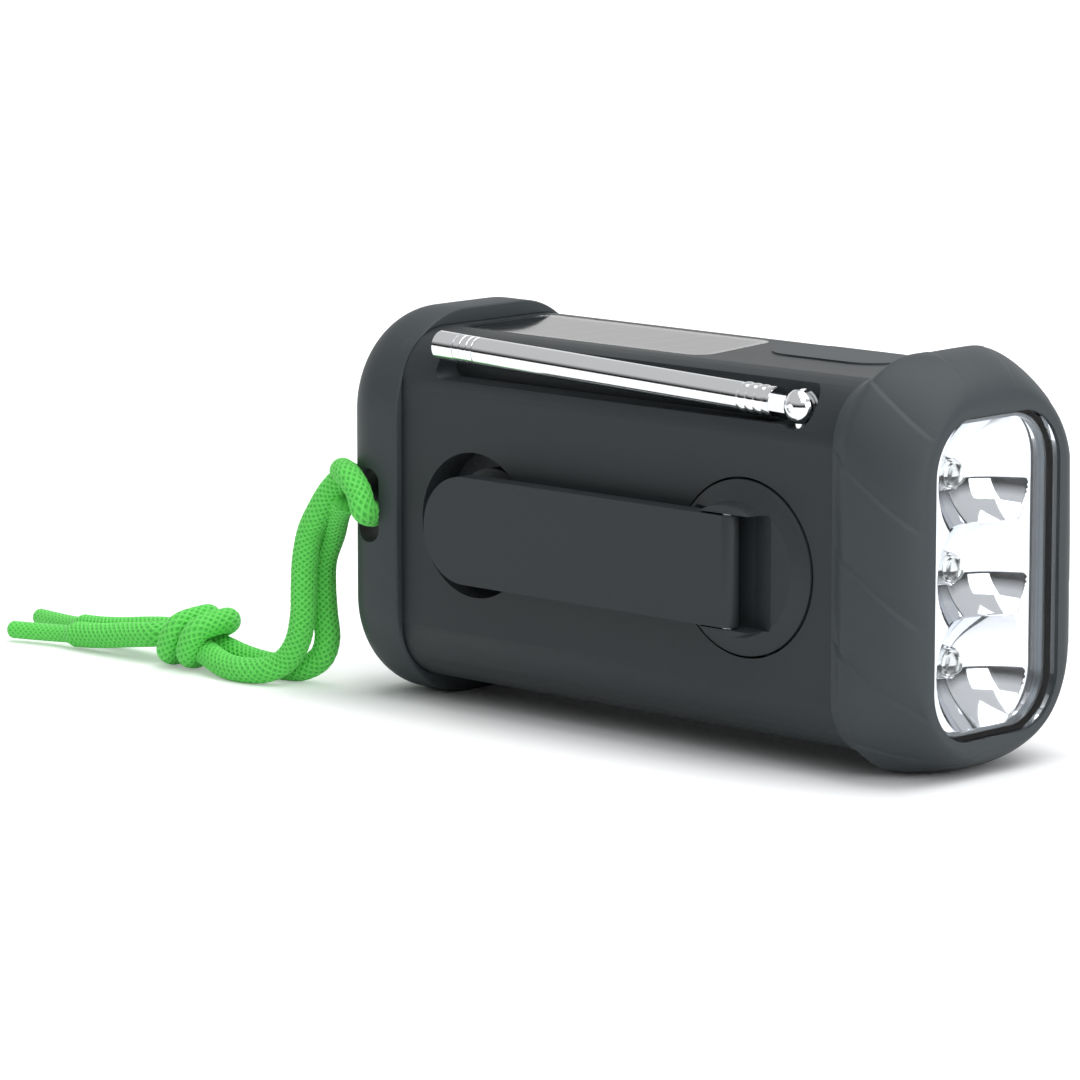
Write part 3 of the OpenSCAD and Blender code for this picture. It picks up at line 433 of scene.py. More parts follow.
FINISH_OF_SLOT = {
    "casing_plastic": casing_finish, "bumper_rubber": rubber_finish, "seal_rubber": seal_finish,
    "lens_clear": lens_finish, "solar_clear": solar_clear_finish, "reflector_chrome": mirror_finish,
    "led_lens": led_finish, "circuit_board": board_finish, "solar_silicon": silicon_finish,
    "antenna_chrome": chrome_finish, "steel": steel_finish, "rotor_magnet": steel_finish,
    "bush_bronze": bronze_finish, "coil_copper": copper_finish, "gear_plastic": gear_finish,
    "speaker_metal": steel_finish, "speaker_paper": paper_finish, "component_plastic": part_finish,
    "cell_wrap": cell_finish,
}
dressed = [entry for entry in frame["record"]["subparts"] if entry["material_slot"] in FINISH_OF_SLOT]
for entry in dressed:
    node = nodes[entry["node"]]
    node.data.materials.clear()
    node.data.materials.append(FINISH_OF_SLOT[entry["material_slot"]])
print("finishes on", len(dressed), "of", len(nodes), "nodes")

# %% [markdown]
# ## The lanyard
# A braided cord, 4.4 mm thick, is hitched through a slot in the tail. Its two strands fall to the table,
# are tied together in an overhand knot and end in sealed tips. Each strand is one tube swept along a
# smooth curve through a few points, given in millimetres with X counted from the tail's end. The braid is
# in the shape itself: two sets of yarns wind round the cord in opposite senses, and whichever lies on top
# lifts the surface.

# %% Lanyard routes
TAIL_END = box_of("tail_bumper")[0][0]
CORD_D = 4.4
CORD_SPACING = 0.2
CORD_COLUMNS = 80
CURVE_STEPS = 40
BRAID_RELIEF = 0.15
RELIEF_LEVEL = 0.7
TIP_LEN = 15.0
TIP_SHARE = 0.71
TIP_TAPER = 2.0
TIP_ROUND = 1.2
TIP_FLAT = 0.97
FIRST_SIDE = [0.3, 0.2, 0.9]
STRAND_A = [[1.6, -23.8, 37.4], [-1, -24.2, 34.8], [-3.4, -24.5, 31.4], [-6, -24.3, 27.4],
            [-7.5, -24.1, 22.6], [-8, -24, 17.6], [-8.2, -24, 12.8], [-9.2, -24.3, 8], [-11.2, -25.2, 4.6],
            [-14, -26.8, 2.8], [-18, -27.8, 2.2], [-23, -27.7, 2.2], [-28.5, -26.6, 3.2]]
STRAND_B = [[1.8, -23.6, 33.6], [-1.6, -22, 30.8], [-5, -19.9, 26.6], [-7.7, -19.3, 21.8],
            [-8.2, -19.1, 17], [-7.9, -19, 12.3], [-7.4, -19, 8], [-8.4, -19.6, 4.6], [-11.5, -20.8, 2.6],
            [-16, -21.4, 2.2], [-23, -21.2, 2.3], [-28.5, -21.8, 3.4]]
HITCH = [[6.6, -21.4, 31.5], [8.4, -25.5, 32.8], [7.3, -25.8, 36], [4.6, -25.3, 38.2],
         [0.7, -23, 38.4], [-1.7, -19, 37], [-2.2, -14.2, 35], [0.6, -9.2, 33.6]]
TAIL_A = [[-43.6, -25.4, 5], [-50, -26.2, 4.2], [-57, -26.6, 3.2], [-65, -26.8, 2.5], [-72, -28, 2.2],
          [-78, -30, 2.2]]
TAIL_B = [[-43.6, -21.4, 5.2], [-50, -21.4, 4.6], [-57, -21.2, 3.6], [-65, -20.4, 2.7], [-74, -19, 2.2],
          [-84, -18, 2.2]]
KNOT_CENTRE = np.array([-36, -24, 5.6])
KNOT_TURN = np.array([[-1, 1, 0], [2.2, 3.5, 2.3], [4.6, 1, 3.3], [2.8, -3.6, 2], [0.2, -3.5, -2.4],
                      [-1.7, 1, -3.2], [-2.8, 2.5, -0.6]])
KNOT_SHIFT = np.array([2.5, 0, 0])


def smooth_route(route):
    """An even line of points, in millimetres, on the Catmull-Rom curve through a route's points."""
    points = np.array(route, dtype=float) + [TAIL_END, 0, 0]
    padded = np.vstack([points[:1], points, points[-1:]])
    t = np.linspace(0, 1, CURVE_STEPS, endpoint=False)[None, :, None]
    a, b, c, d = [padded[i:i + len(points) - 1, None, :] for i in range(4)]
    curve = 0.5 * (2 * b + (c - a) * t + (2 * a - 5 * b + 4 * c - d) * t**2 + (3 * b - a - 3 * c + d) * t**3)
    curve = np.vstack([curve.reshape(-1, 3), points[-1:]])
    reach = np.concatenate([[0], np.cumsum(np.linalg.norm(np.diff(curve, axis=0), axis=1))])
    even = np.linspace(0, reach[-1], int(reach[-1] / CORD_SPACING))
    return np.stack([np.interp(even, reach, axis) for axis in curve.T], axis=1)


def cord_frame(line):
    """Two directions across a line at each of its points, carried along it without twisting. The first
    one is square to the line and to FIRST_SIDE, which isn't in line with any cord's start."""
    ahead = unit(np.gradient(line, axis=0))
    across = np.empty_like(line)
    across[0] = unit(np.cross(ahead[0], FIRST_SIDE))
    for i in range(1, len(line)):
        across[i] = unit(across[i - 1] - ahead[i] * (across[i - 1] @ ahead[i]))
    return across, np.cross(ahead, across)


def braided_cord(name, line, tipped):
    """A tube round the line. Its radius is the cord's own, plus the braid's relief times the higher of two
    cosines that wind in opposite senses, less its usual level. A tipped end is smooth and narrower, and
    its radius closes to a small flat as the root of one less a square, which is a round end."""
    across, upward = cord_frame(line)
    travel = np.arange(len(line))[:, None] * CORD_SPACING
    turn = np.linspace(0, 2 * np.pi, CORD_COLUMNS, endpoint=False)[None, :]
    wind = 2 * np.pi * YARNS * travel / BRAID_PITCH
    one_way = np.cos(YARNS * turn + wind)
    other_way = np.cos(YARNS * turn - wind)
    to_end = travel[-1] - travel
    tip = np.clip((TIP_LEN - to_end) / TIP_TAPER, 0, 1) if tipped else np.zeros_like(travel)
    relief = BRAID_RELIEF * (np.maximum(one_way, other_way) - RELIEF_LEVEL) * (1 - tip)
    radius = (CORD_D / 2 + relief) * (1 + (TIP_SHARE - 1) * tip)
    if tipped:
        radius = radius * np.sqrt(1 - np.clip(1 - to_end / TIP_ROUND, 0, TIP_FLAT)**2)
    spoke = np.cos(turn)[..., None] * across[:, None, :] + np.sin(turn)[..., None] * upward[:, None, :]
    grid = line[:, None, :] + radius[..., None] * spoke
    return grid_object(name, grid, caps=True, spacing=CORD_SPACING)


def add_lanyard():
    """The hitch and the two knotted strands: cords that take the place of their solids."""
    turn_a = KNOT_TURN + KNOT_CENTRE - KNOT_SHIFT
    turn_b = KNOT_TURN + KNOT_CENTRE + KNOT_SHIFT
    routes = {"lanyard_cord_a": (STRAND_A + turn_a.tolist() + TAIL_A, "bare"),
              "lanyard_cord_b": (STRAND_B + turn_b.tolist() + TAIL_B, "bare"),
              "lanyard_bight": (HITCH, "object")}
    replaced = {"lanyard_cord_a": ["lanyard_strand_a", "lanyard_tail_a", "lanyard_knot"],
                "lanyard_cord_b": ["lanyard_strand_b", "lanyard_tail_b"],
                "lanyard_bight": ["lanyard_hitch"]}
    for name, (route, far_end) in routes.items():
        line = smooth_route(route)
        cord = braided_cord(name, line, far_end == "bare")
        cord.data.materials.append(cord_finish)
        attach(cord, "housing")
        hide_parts(*replaced[name])


add_lanyard()

# %% [markdown]
# ## Rounded sections
# The head, the tail cap and the torch's collar are all lofted through rounded rectangles. A section is
# four numbers: its width, its height, its corner radius and the height of its middle. Adding GROW to one
# makes it larger by 1 mm all round.

# %% Rounded sections
CORNER_POINTS = 24
GROW = np.array([2, 2, 1, 0])


def middle(low, high, axis):
    """The middle of a box along one axis."""
    return (low[axis] + high[axis]) / 2


def section_of(low, high, radius):
    """The section of a box seen along X, with a corner radius."""
    size = high - low
    return np.array([size[1], size[2], radius, middle(low, high, 2)])


def round_section(w, h, r, z, share):
    """Places (Y, Z) and outward directions on a rounded rectangle at shares of its perimeter: quarter
    circles are laid round the corners, and lengths along the closed outline give each share its place."""
    quarter = np.linspace(0, np.pi / 2, CORNER_POINTS)
    turn = np.concatenate([quarter + k * np.pi / 2 for k in range(4)])
    side = np.repeat([1, -1, -1, 1], CORNER_POINTS)
    rise = np.repeat([1, 1, -1, -1], CORNER_POINTS)
    outline = np.stack([side * (w / 2 - r) + r * np.cos(turn), z + rise * (h / 2 - r) + r * np.sin(turn),
                        np.cos(turn), np.sin(turn)])
    outline = np.hstack([outline, outline[:, :1]])
    reach = np.concatenate([[0], np.cumsum(np.hypot(*np.diff(outline[:2], axis=1)))])
    place = (share % 1) * reach[-1]
    return np.stack([np.interp(place, reach, line) for line in outline], axis=-1)


def loft(name, rows, columns, **ends):
    """A tube through rows of (place along X, section), with its ends as in grid_object."""
    share = np.linspace(0, 1, columns, endpoint=False)
    grid = [np.column_stack([np.full(columns, x), round_section(*section, share)[:, :2]])
            for x, section in rows]
    return grid_object(name, np.array(grid), **ends)


# %% [markdown]
# ## The torch head
# The head is a sleeve of thirteen plates that lie over each other like a twisted fan. It is one closed
# sheet: rows run from the step at the casing over the nose to the lens, and back through the bore.
# Columns follow the twist, so each plate's lip lies exactly on a column and stays crisp.

# %% Torch head
CASING_BOX = np.array([box_of("rear_shell"), box_of("front_shell")])
CASING_LOW = CASING_BOX.min(axis=(0, 1))
CASING_HIGH = CASING_BOX.max(axis=(0, 1))
HEAD_LOW, HEAD_HIGH = box_of("torch_head")
LENS_LOW, LENS_HIGH = box_of("lens")
CLEAR = 0.1
LENS_STEP = 1.0
LENS_BOSS = 1.4
LENS_RIM = 1.3
LENS_R = 9.0
CASING_R = 10.0
BUMPER_R = 17.0
STEP_PROUD = 0.15
FLARE_ROWS = 12
NOSE_ROWS = 28
NOSE_LEN = 12.0
NOSE_SOFT = 4.5
PLATES = 13
PLATE_COLUMNS = 47
PLATE_SLOPE = 0.75
PLATE_SPACING = 15.14
PLATE_REACH = 38.0
PLATE_START = -4.8
PLATE_RELIEF = 0.4
PLATE_END = 0.99
FAR_SIDE_SHARE = 0.25
FADE_IN = 1.5
FADE_OUT = 1.0
LIP_SHARE = 0.05
LIP_COLUMNS = 5
HEAD_CREASE = math.radians(32)


def head_rows():
    """The sleeve's rows, each a place along X and a section, and how many of them are on the outside. The
    flare swells from the casing as three t squared less two t cubed of its own share of the way, and the
    nose follows a quarter of an ellipse, with rounder corners half way."""
    lens = section_of(LENS_LOW, LENS_HIGH, LENS_R) - LENS_STEP * np.array([2, 2, 0, 0])
    full = section_of(HEAD_LOW, HEAD_HIGH, BUMPER_R)
    sleeve = section_of(CASING_LOW, CASING_HIGH, CASING_R)
    nose = lens + LENS_RIM * GROW
    fit = CLEAR * GROW
    flange = LENS_STEP * GROW
    step = sleeve + STEP_PROUD * GROW
    start_x, end_x = HEAD_LOW[0], HEAD_HIGH[0]
    seat_x = LENS_HIGH[0] - LENS_BOSS
    rows = [(start_x + (end_x - NOSE_LEN - start_x) * t, step + (full - step) * t * t * (3 - 2 * t))
            for t in np.linspace(0, 1, FLARE_ROWS, endpoint=False)]
    for angle in np.linspace(0, np.pi / 2, NOSE_ROWS):
        round_more = np.array([0, 0, NOSE_SOFT * np.sin(2 * angle), 0])
        rows.append((end_x - NOSE_LEN * (1 - np.sin(angle)),
                     full + (nose - full) * (1 - np.cos(angle)) + round_more))
    outer = len(rows)
    rows += [(end_x, lens + fit), (seat_x, lens + fit), (seat_x, lens + flange + fit),
             (CASING_HIGH[0], lens + flange + fit), (CASING_HIGH[0], sleeve + fit), (start_x, sleeve + fit)]
    return rows, outer


def plate_columns():
    """The columns' distances from the middle plate's lip, and how far the surface sinks at each, from 0 to
    1: with the cube of the share of the way to the next lip, after a short ramp back out at the lip."""
    lip = np.linspace(0, LIP_SHARE, LIP_COLUMNS, endpoint=False)
    along_plate = np.concatenate([lip, np.linspace(LIP_SHARE, PLATE_END, PLATE_COLUMNS)])
    profile = np.where(along_plate < LIP_SHARE, 1 - along_plate / LIP_SHARE, along_plate**3)
    plates = np.arange(PLATES)[:, None] - PLATES // 2
    return PLATE_SPACING * (plates + along_plate[None, :]).ravel(), np.tile(profile, PLATES)


def add_torch_head():
    """The sleeve: each row is a rounded rectangle, whose columns start at the middle of the crank side.
    Near that line the plates keep one spacing in every row, and the far side takes up the difference. The
    relief is strongest on the crank side and fades at both ends."""
    rows, outer = head_rows()
    wanted, profile = plate_columns()
    start_x, end_x = HEAD_LOW[0], HEAD_HIGH[0]
    distance = np.abs(wanted)
    grid = []
    for i, (x, (w, h, r, z)) in enumerate(rows):
        length = 2 * (w + h) - (8 - 2 * np.pi) * r
        crank_side = w + h / 2 - (3 - np.pi) * r
        shift = crank_side + PLATE_START + PLATE_SLOPE * (x - start_x)
        squeeze = (length / 2 - PLATE_REACH) / (distance.max() - PLATE_REACH)
        beyond = np.clip(distance - PLATE_REACH, 0, None) * (squeeze - 1)
        outline = round_section(w, h, r, z, (shift + np.sign(wanted) * (distance + beyond)) / length)
        fade = np.clip((x - start_x) / FADE_IN, 0, 1) * np.clip((end_x - x) / FADE_OUT, 0, 1)
        facing = FAR_SIDE_SHARE + (1 - FAR_SIDE_SHARE) * np.clip(-outline[:, 2], 0, 1)
        sink = PLATE_RELIEF * fade * facing * profile if i < outer else np.zeros(len(wanted))
        places = outline[:, :2] - sink[:, None] * outline[:, 2:]
        grid.append(np.column_stack([np.full(len(wanted), x), places]))
    head = grid_object("torch_head_plates", np.array(grid), close_rows=True)
    head.data.set_sharp_from_angle(angle=HEAD_CREASE)
    head.data.materials.append(rubber_finish)
    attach(head, "housing")
    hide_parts("torch_head")
    print("torch head:", len(head.data.polygons), "faces,", PLATES, "plates")


add_torch_head()

# %% [markdown]
# ## The tail cap
# The tail is a smooth rubbery cap, so its packed facets are replaced by a finely lofted sheet with the
# same sections: a socket for the casing, straight sides, and a round outer edge. The slot for the cord
# is cut out of the finished sheet.

# %% Tail cap
TAIL_LOW, TAIL_HIGH = box_of("tail_bumper")
TAIL_ROUND = 8.0
TAIL_COLUMNS = 240
EDGE_ROWS = 26
MOUTH_INSET = 0.35
MOUTH_SOFT = 0.12
MOUTH_LEN = 0.4
TAIL_CREASE = math.radians(40)
SLOT_COLUMNS = 96
SLOT_REACH = 30.0
SLOT_SECTION = (4.8, 12.6, 2.3, 33.3)
SLOT_PLACE = np.array([5.0, 5.0])
SLOT_TURN = math.radians(66)


def slot_cutter():
    """A bar with a round-ended section that goes through the tail's corner at the slot's angle."""
    outline = round_section(*SLOT_SECTION, np.linspace(0, 1, SLOT_COLUMNS, endpoint=False))
    along = np.array([math.cos(SLOT_TURN), -math.sin(SLOT_TURN)])
    across = np.array([math.sin(SLOT_TURN), math.cos(SLOT_TURN)])
    place = SLOT_PLACE + TAIL_LOW[:2]
    rows = [np.column_stack([place + reach * along + outline[:, :1] * across, outline[:, 1]])
            for reach in (-SLOT_REACH, SLOT_REACH)]
    return grid_object("slot cutter", np.array(rows), caps=True)


def cut(obj, cutter):
    """Takes the cutter's volume out of a piece, keeps the result as its mesh, and removes the cutter."""
    tool = obj.modifiers.new("cut", "BOOLEAN")
    tool.operation = "DIFFERENCE"
    tool.solver = "EXACT"
    tool.object = cutter
    graph = bpy.context.evaluated_depsgraph_get()
    result = bpy.data.meshes.new_from_object(obj.evaluated_get(graph))
    obj.modifiers.remove(tool)
    obj.data = result
    bpy.data.objects.remove(cutter)


def add_tail_cap():
    """The cap: rows from the socket's floor out to its soft mouth, then over the round edge to the flat end.
    On the round edge the section shrinks by the edge's radius times one minus the cosine of the angle."""
    full = section_of(TAIL_LOW, TAIL_HIGH, BUMPER_R)
    socket = section_of(CASING_LOW, CASING_HIGH, CASING_R) + CLEAR * GROW
    mouth_x = TAIL_HIGH[0]
    rows = [(CASING_LOW[0], socket), (mouth_x, socket), (mouth_x, full - MOUTH_INSET * GROW),
            (mouth_x - MOUTH_SOFT, full - MOUTH_SOFT * GROW), (mouth_x - MOUTH_LEN, full)]
    for angle in np.linspace(0, np.pi / 2, EDGE_ROWS):
        inset = TAIL_ROUND * (1 - np.cos(angle))
        rows.append((TAIL_LOW[0] + TAIL_ROUND * (1 - np.sin(angle)), full - inset * GROW))
    cap = loft("tail_cap", rows, TAIL_COLUMNS, caps=True)
    cut(cap, slot_cutter())
    cap.data.polygons.foreach_set("use_smooth", np.ones(len(cap.data.polygons), dtype=bool))
    cap.data.set_sharp_from_angle(angle=TAIL_CREASE)
    cap.data.materials.clear()
    cap.data.materials.append(rubber_finish)
    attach(cap, "housing")
    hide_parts("tail_bumper")
    print("tail cap:", len(cap.data.polygons), "faces")


add_tail_cap()

# %% [markdown]
# ## The reflector
# Three bowls stand above each other and cut into one another, which leaves two sharp ridges between
# them. The mirror is a height field over the opening: at each place the nearest LED decides the height.

# %% Reflector
MIRROR_LOW, MIRROR_HIGH = box_of("reflector")
LED_PITCH = 15.2
CUP_R = 11.2
LED_HOLE_R = 2.5
HOLE_FLOOR = 0.05
MIRROR_R = 10.0
MIRROR_ROWS = 281
MIRROR_COLUMNS = 161
MIRROR_CREASE = math.radians(35)


def add_reflector():
    """Height over the back plane = depth times the squared distance to the nearest LED over the cup's
    squared radius, at most the depth, and a low flat at each LED. Across each row the places follow the
    round outline's width. A flat back and a skirt round the rim close the sheet."""
    size = MIRROR_HIGH - MIRROR_LOW
    mid = middle(MIRROR_LOW, MIRROR_HIGH, 2)
    z = np.linspace(-size[2] / 2, size[2] / 2, MIRROR_ROWS)[:, None]
    across = np.linspace(-1, 1, MIRROR_COLUMNS)[None, :]
    corner = np.clip(np.abs(z) - (size[2] / 2 - MIRROR_R), 0, MIRROR_R)
    half = size[1] / 2 - MIRROR_R + np.sqrt(MIRROR_R**2 - corner**2)
    y = across * half
    led_z = np.clip(np.round(z / LED_PITCH), -1, 1) * LED_PITCH
    square = y**2 + (z - led_z)**2
    height = np.clip(size[0] * square / CUP_R**2, 0, size[0])
    height = np.where(square < LED_HOLE_R**2, HOLE_FLOOR, height)
    front = np.stack([MIRROR_LOW[0] + height, y, np.broadcast_to(mid + z, y.shape)], axis=-1)
    back = front.copy()
    back[..., 0] = MIRROR_LOW[0]
    rows, columns = y.shape
    row = np.arange(rows - 1)[:, None]
    column = np.arange(columns - 1)[None, :]
    quads = np.stack([row * columns + column, row * columns + column + 1, (row + 1) * columns + column + 1,
                      (row + 1) * columns + column], axis=-1).reshape(-1, 4)
    behind = quads[:, ::-1] + rows * columns
    rim = np.concatenate([np.arange(columns), np.arange(1, rows) * columns + columns - 1,
                          (rows - 1) * columns + np.arange(columns - 2, -1, -1),
                          np.arange(rows - 2, 0, -1) * columns])
    after = np.roll(rim, -1)
    skirt = np.stack([rim, rim + rows * columns, after + rows * columns, after], axis=-1)
    points = np.concatenate([front.reshape(-1, 3), back.reshape(-1, 3)])
    mirror = outward(mesh_object("reflector_bowls", points, np.concatenate([quads, behind, skirt]).tolist()))
    mirror.data.set_sharp_from_angle(angle=MIRROR_CREASE)
    mirror.data.materials.append(mirror_finish)
    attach(mirror, "housing")
    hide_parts("reflector")
    print("reflector:", len(mirror.data.polygons), "faces")


add_reflector()

# %% [markdown]
# A satin collar lines the opening between the bowls and the lens and hides the dark seal. It is a short
# sleeve with four rows: out along its outside and back along its inside.

# %% Reflector collar
SEAL_LOW, SEAL_HIGH = box_of("lens_seal")
SEAL_LIP = 1.5
COLLAR_WALL = 0.5
COLLAR_COLUMNS = 200


def add_collar():
    """A sleeve inside the seal, from the bowls' rim almost to the lens."""
    outside = section_of(SEAL_LOW, SEAL_HIGH, MIRROR_R) - (SEAL_LIP + CLEAR) * GROW
    inside = outside - COLLAR_WALL * GROW
    near, far = SEAL_LOW[0], SEAL_HIGH[0] - CLEAR
    rows = [(near, outside), (far, outside), (far, inside), (near, inside)]
    collar = loft("reflector_collar", rows, COLLAR_COLUMNS, close_rows=True)
    collar.data.set_sharp_from_angle(angle=MIRROR_CREASE)
    collar.data.materials.append(collar_finish)
    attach(collar, "housing")
    print("reflector collar:", len(collar.data.polygons), "faces")


add_collar()

# %% [markdown]
# ## The antenna's crimps
# At its foot the antenna's barrel is rolled into its hinge piece, which leaves a flange and a few round
# crimps. They are one thin turned sleeve on the barrel, and it folds with the antenna.

# %% Antenna crimps
BARREL_R = 2.4
CRIMPS = 3
CRIMP_START = 5.1
CRIMP_PITCH = 1.7
CRIMP_RISE = 0.14
CRIMP_WALL = 0.02
CRIMP_ROWS = 60
FLANGE_LEN = 1.2
FLANGE_GAP = 0.3
ANTENNA_CREASE = math.radians(40)


def barrel_direction():
    """The direction along the barrel from its hinge: the one in which its packed points spread most."""
    points = np.array([vertex.co for vertex in nodes["antenna_barrel"].data.vertices]) / MM
    ahead = np.linalg.svd(points - points.mean(axis=0), full_matrices=False)[2][0]
    return ahead * -np.sign(ahead[0])


def add_crimps():
    """A sleeve whose outside is a flat flange, then one raised half wave of a sine for each crimp."""
    hinge = np.mean(box_of("antenna_pin"), axis=0)
    flange_r = BARREL_R + CRIMP_RISE
    flange_end = CRIMP_START + FLANGE_LEN
    wave = np.linspace(0, CRIMPS * np.pi, CRIMP_ROWS)
    raised = BARREL_R + CRIMP_WALL + CRIMP_RISE * np.abs(np.sin(wave))
    outside = [(CRIMP_START, flange_r), (flange_end, flange_r)]
    outside += list(zip(flange_end + FLANGE_GAP + wave / np.pi * CRIMP_PITCH, raised))
    inside = [(outside[-1][0], BARREL_R), (CRIMP_START, BARREL_R)]
    ring = lathe("antenna_crimps", outside + inside, hinge, barrel_direction())
    ring.data.set_sharp_from_angle(angle=ANTENNA_CREASE)
    ring.data.materials.append(chrome_finish)
    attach(ring, "antenna")
    print("antenna crimps:", len(ring.data.polygons), "faces")


add_crimps()

# %% [markdown]
# Each inner section ends in a ring about as wide as the barrel, which stops it from sliding in too far.
# With the antenna pushed in, the rings close up into one smooth tip with a fine dark line at the barrel's
# end.

# %% Antenna stop rings
BARREL_END = 69.0
SECTION_STEP = 1.5
SECTION_FALL = 0.35
RING_R = 2.38
RING_SOFT = 0.08
RING_GAP = 0.02
TIP_LINE = 0.3


def add_stop_rings():
    """One turned ring on each inner section: it fills the section's visible step and has soft edges."""
    hinge = np.mean(box_of("antenna_pin"), axis=0)
    for number in (2, 3, 4):
        near = BARREL_END + (number - 2) * SECTION_STEP + (TIP_LINE if number == 2 else RING_GAP)
        far = BARREL_END + (number - 1) * SECTION_STEP - RING_GAP
        bore = BARREL_R - (number - 1) * SECTION_FALL + RING_GAP / 2
        profile = [(near, RING_R - RING_SOFT), (near + RING_SOFT, RING_R), (far - RING_SOFT, RING_R),
                   (far, RING_R - RING_SOFT), (far, bore), (near, bore)]
        ring = lathe(f"antenna_ring_{number}", profile, hinge, barrel_direction())
        ring.data.set_sharp_from_angle(angle=ANTENNA_CREASE)
        ring.data.materials.append(chrome_finish)
        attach(ring, f"antenna_{number}")
        print(ring.name, round(far - near, 2), "mm long")


add_stop_rings()

# %% [markdown]
# ## Soft moulded edges
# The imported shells, the crank and the knobs have knife-sharp edges. A narrow bevel on each catches the
# light as the edge of a moulding does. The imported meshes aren't touched: a weld, which joins
# points that lie on each other, and the bevel are modifiers.

# %% Soft edges
for name, width in (("rear_shell", 0.35), ("front_shell", 0.35), ("crank_arm", 0.7), ("crank_hub", 0.35),
                    ("torch_button", 0.3), ("tuning_knob", 0.4), ("volume_knob", 0.4), ("solar_window", 0.2),
                    ("crank_knob", 0.3), ("port_cover", 0.15), ("band_slider", 0.2)):
    soften(nodes[name], width)
print("soft edges on the moulded pieces")

# %% [markdown]
# ## The table and the light
# A plain pale table runs past the edge of the view. Three soft lamps and a pale sky light the radio
# about as a white tent does. The table adds a little light of its own, which only the camera sees, straight,
# in the chrome or through the lens. So it comes out white in the picture, still takes the radio's shadow
# and puts no more light on the radio's dull faces. Less of that light under and near the radio is painted
# shade, which deepens the shadow there.

# %% Stage
FLOOR_HALF = 6000.0
FOOT_HALF = (0.061, 0.022)
# painted shade: the lift is nothing under the radio and lower near it, which darkens the table there beyond
# the lamps' own shadow
LIFT_UNDER = 0.0
LIFT_NEAR = 0.29
LIFT_FAR = 0.9
NEAR_RAMP = (-0.004, 0.012)
FAR_RAMP = (0.15, 0.9)
SKY_LOW = 0.02
SKY_HIGH = 0.62
SKY_BEHIND = 0.95
OVERHEAD_RAMP = (0.15, 0.42)
BEHIND_RAMP = (0.1, 0.7)
LOW_RAMP = (0.2, 0.5)


def add_stage():
    """A wide floor. Its lift, for camera, mirror and lens rays, is nothing under the radio, moderate around
    it and strong far away, where the lamps fall off. Under and near the radio this is painted shade on top
    of the lamps' own shadow, so the shadow there stays deep."""
    corners = [[-FLOOR_HALF, -FLOOR_HALF, 0], [FLOOR_HALF, -FLOOR_HALF, 0], [FLOOR_HALF, FLOOR_HALF, 0],
               [-FLOOR_HALF, FLOOR_HALF, 0]]
    floor = mesh_object("floor", corners, [[0, 1, 2, 3]])
    material, shader = new_material("table")
    tree = material.node_tree
    shader.inputs["Base Color"].default_value = (0.86, 0.87, 0.88, 1)
    shader.inputs["Roughness"].default_value = 0.9
    shader.inputs["Specular IOR Level"].default_value = 0.0
    shader.inputs["Emission Color"].default_value = (1, 1, 1, 1)
    place = tree.nodes.new("ShaderNodeTexCoord")
    parts = tree.nodes.new("ShaderNodeSeparateXYZ")
    tree.links.new(place.outputs["Object"], parts.inputs["Vector"])
    beyond = [number_node(tree, "SUBTRACT", number_node(tree, "ABSOLUTE", parts.outputs[axis], 0.0), half)
              for axis, half in zip(("X", "Y"), FOOT_HALF)]
    outside = number_node(tree, "MAXIMUM", *beyond)
    near = ramp_node(tree, outside, *NEAR_RAMP, LIFT_UNDER, LIFT_NEAR)
    away = ramp_node(tree, outside, *FAR_RAMP, 0.0, LIFT_FAR - LIFT_NEAR)
    ray = tree.nodes.new("ShaderNodeLightPath")
    seen = number_node(tree, "MAXIMUM", ray.outputs["Is Camera Ray"], ray.outputs["Is Glossy Ray"])
    seen = number_node(tree, "MAXIMUM", seen, ray.outputs["Is Transmission Ray"])
    lift = number_node(tree, "MULTIPLY", number_node(tree, "ADD", near, away), seen)
    tree.links.new(lift, shader.inputs["Emission Strength"])
    floor.data.materials.append(material)


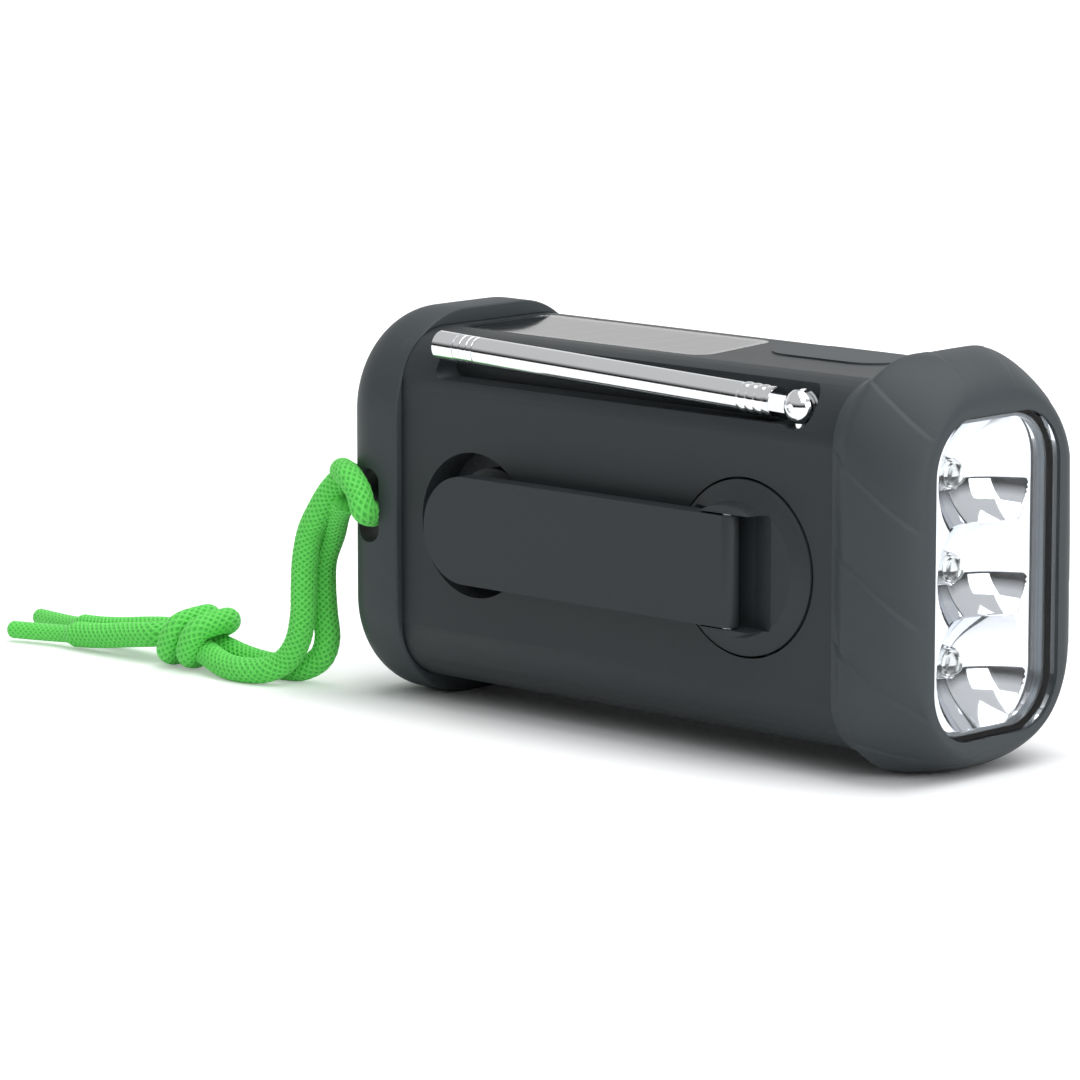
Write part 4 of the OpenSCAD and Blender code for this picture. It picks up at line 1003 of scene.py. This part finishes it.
def add_lamp(name, place, aim, size, power):
    """A square soft lamp at place (metres) that shines towards aim; its size is in metres, its power in
    watts."""
    data = bpy.data.lights.new(name, "AREA")
    data.shape = "SQUARE"
    data.size = size
    data.energy = power
    lamp = bpy.data.objects.new(name, data)
    lamp.location = place
    lamp.rotation_euler = (Vector(aim) - Vector(place)).to_track_quat("-Z", "Y").to_euler()
    bpy.context.scene.collection.objects.link(lamp)


def add_sky():
    """A pale sky: dark at the horizon, which draws the dark line along the chrome, brighter overhead, and
    bright low down on the far side, which the glossy top of the radio mirrors towards the camera."""
    world = bpy.data.worlds.new("sky")
    world.use_nodes = True
    tree = world.node_tree
    background = tree.nodes["Background"]
    background.inputs["Color"].default_value = (1, 1, 1, 1)
    place = tree.nodes.new("ShaderNodeTexCoord")
    parts = tree.nodes.new("ShaderNodeSeparateXYZ")
    tree.links.new(place.outputs["Generated"], parts.inputs["Vector"])
    away = tree.nodes.new("ShaderNodeVectorMath")
    away.operation = "DOT_PRODUCT"
    away.inputs[1].default_value = (-math.sin(AZIMUTH), math.cos(AZIMUTH), 0)
    tree.links.new(place.outputs["Generated"], away.inputs[0])
    overhead = ramp_node(tree, parts.outputs["Z"], *OVERHEAD_RAMP, SKY_LOW, SKY_HIGH)
    behind = ramp_node(tree, away.outputs["Value"], *BEHIND_RAMP, 0.0, SKY_BEHIND)
    low = ramp_node(tree, parts.outputs["Z"], *LOW_RAMP, 1.0, 0.0)
    strength = number_node(tree, "ADD", overhead, number_node(tree, "MULTIPLY", behind, low))
    tree.links.new(strength, background.inputs["Strength"])
    bpy.context.scene.world = world


add_stage()
add_sky()
add_lamp("lamp above", place=(0.15, 0.15, 0.9), aim=(0, 0, 0.03), size=0.9, power=6.0)
add_lamp("lamp front", place=(0.62, -0.45, 0.80), aim=(0, 0, 0.03), size=0.5, power=1.7)
add_lamp("lamp right", place=(0.85, -0.14, 0.30), aim=(0.05, 0, 0.03), size=0.45, power=2.2)
print("a floor, a sky and three lamps")
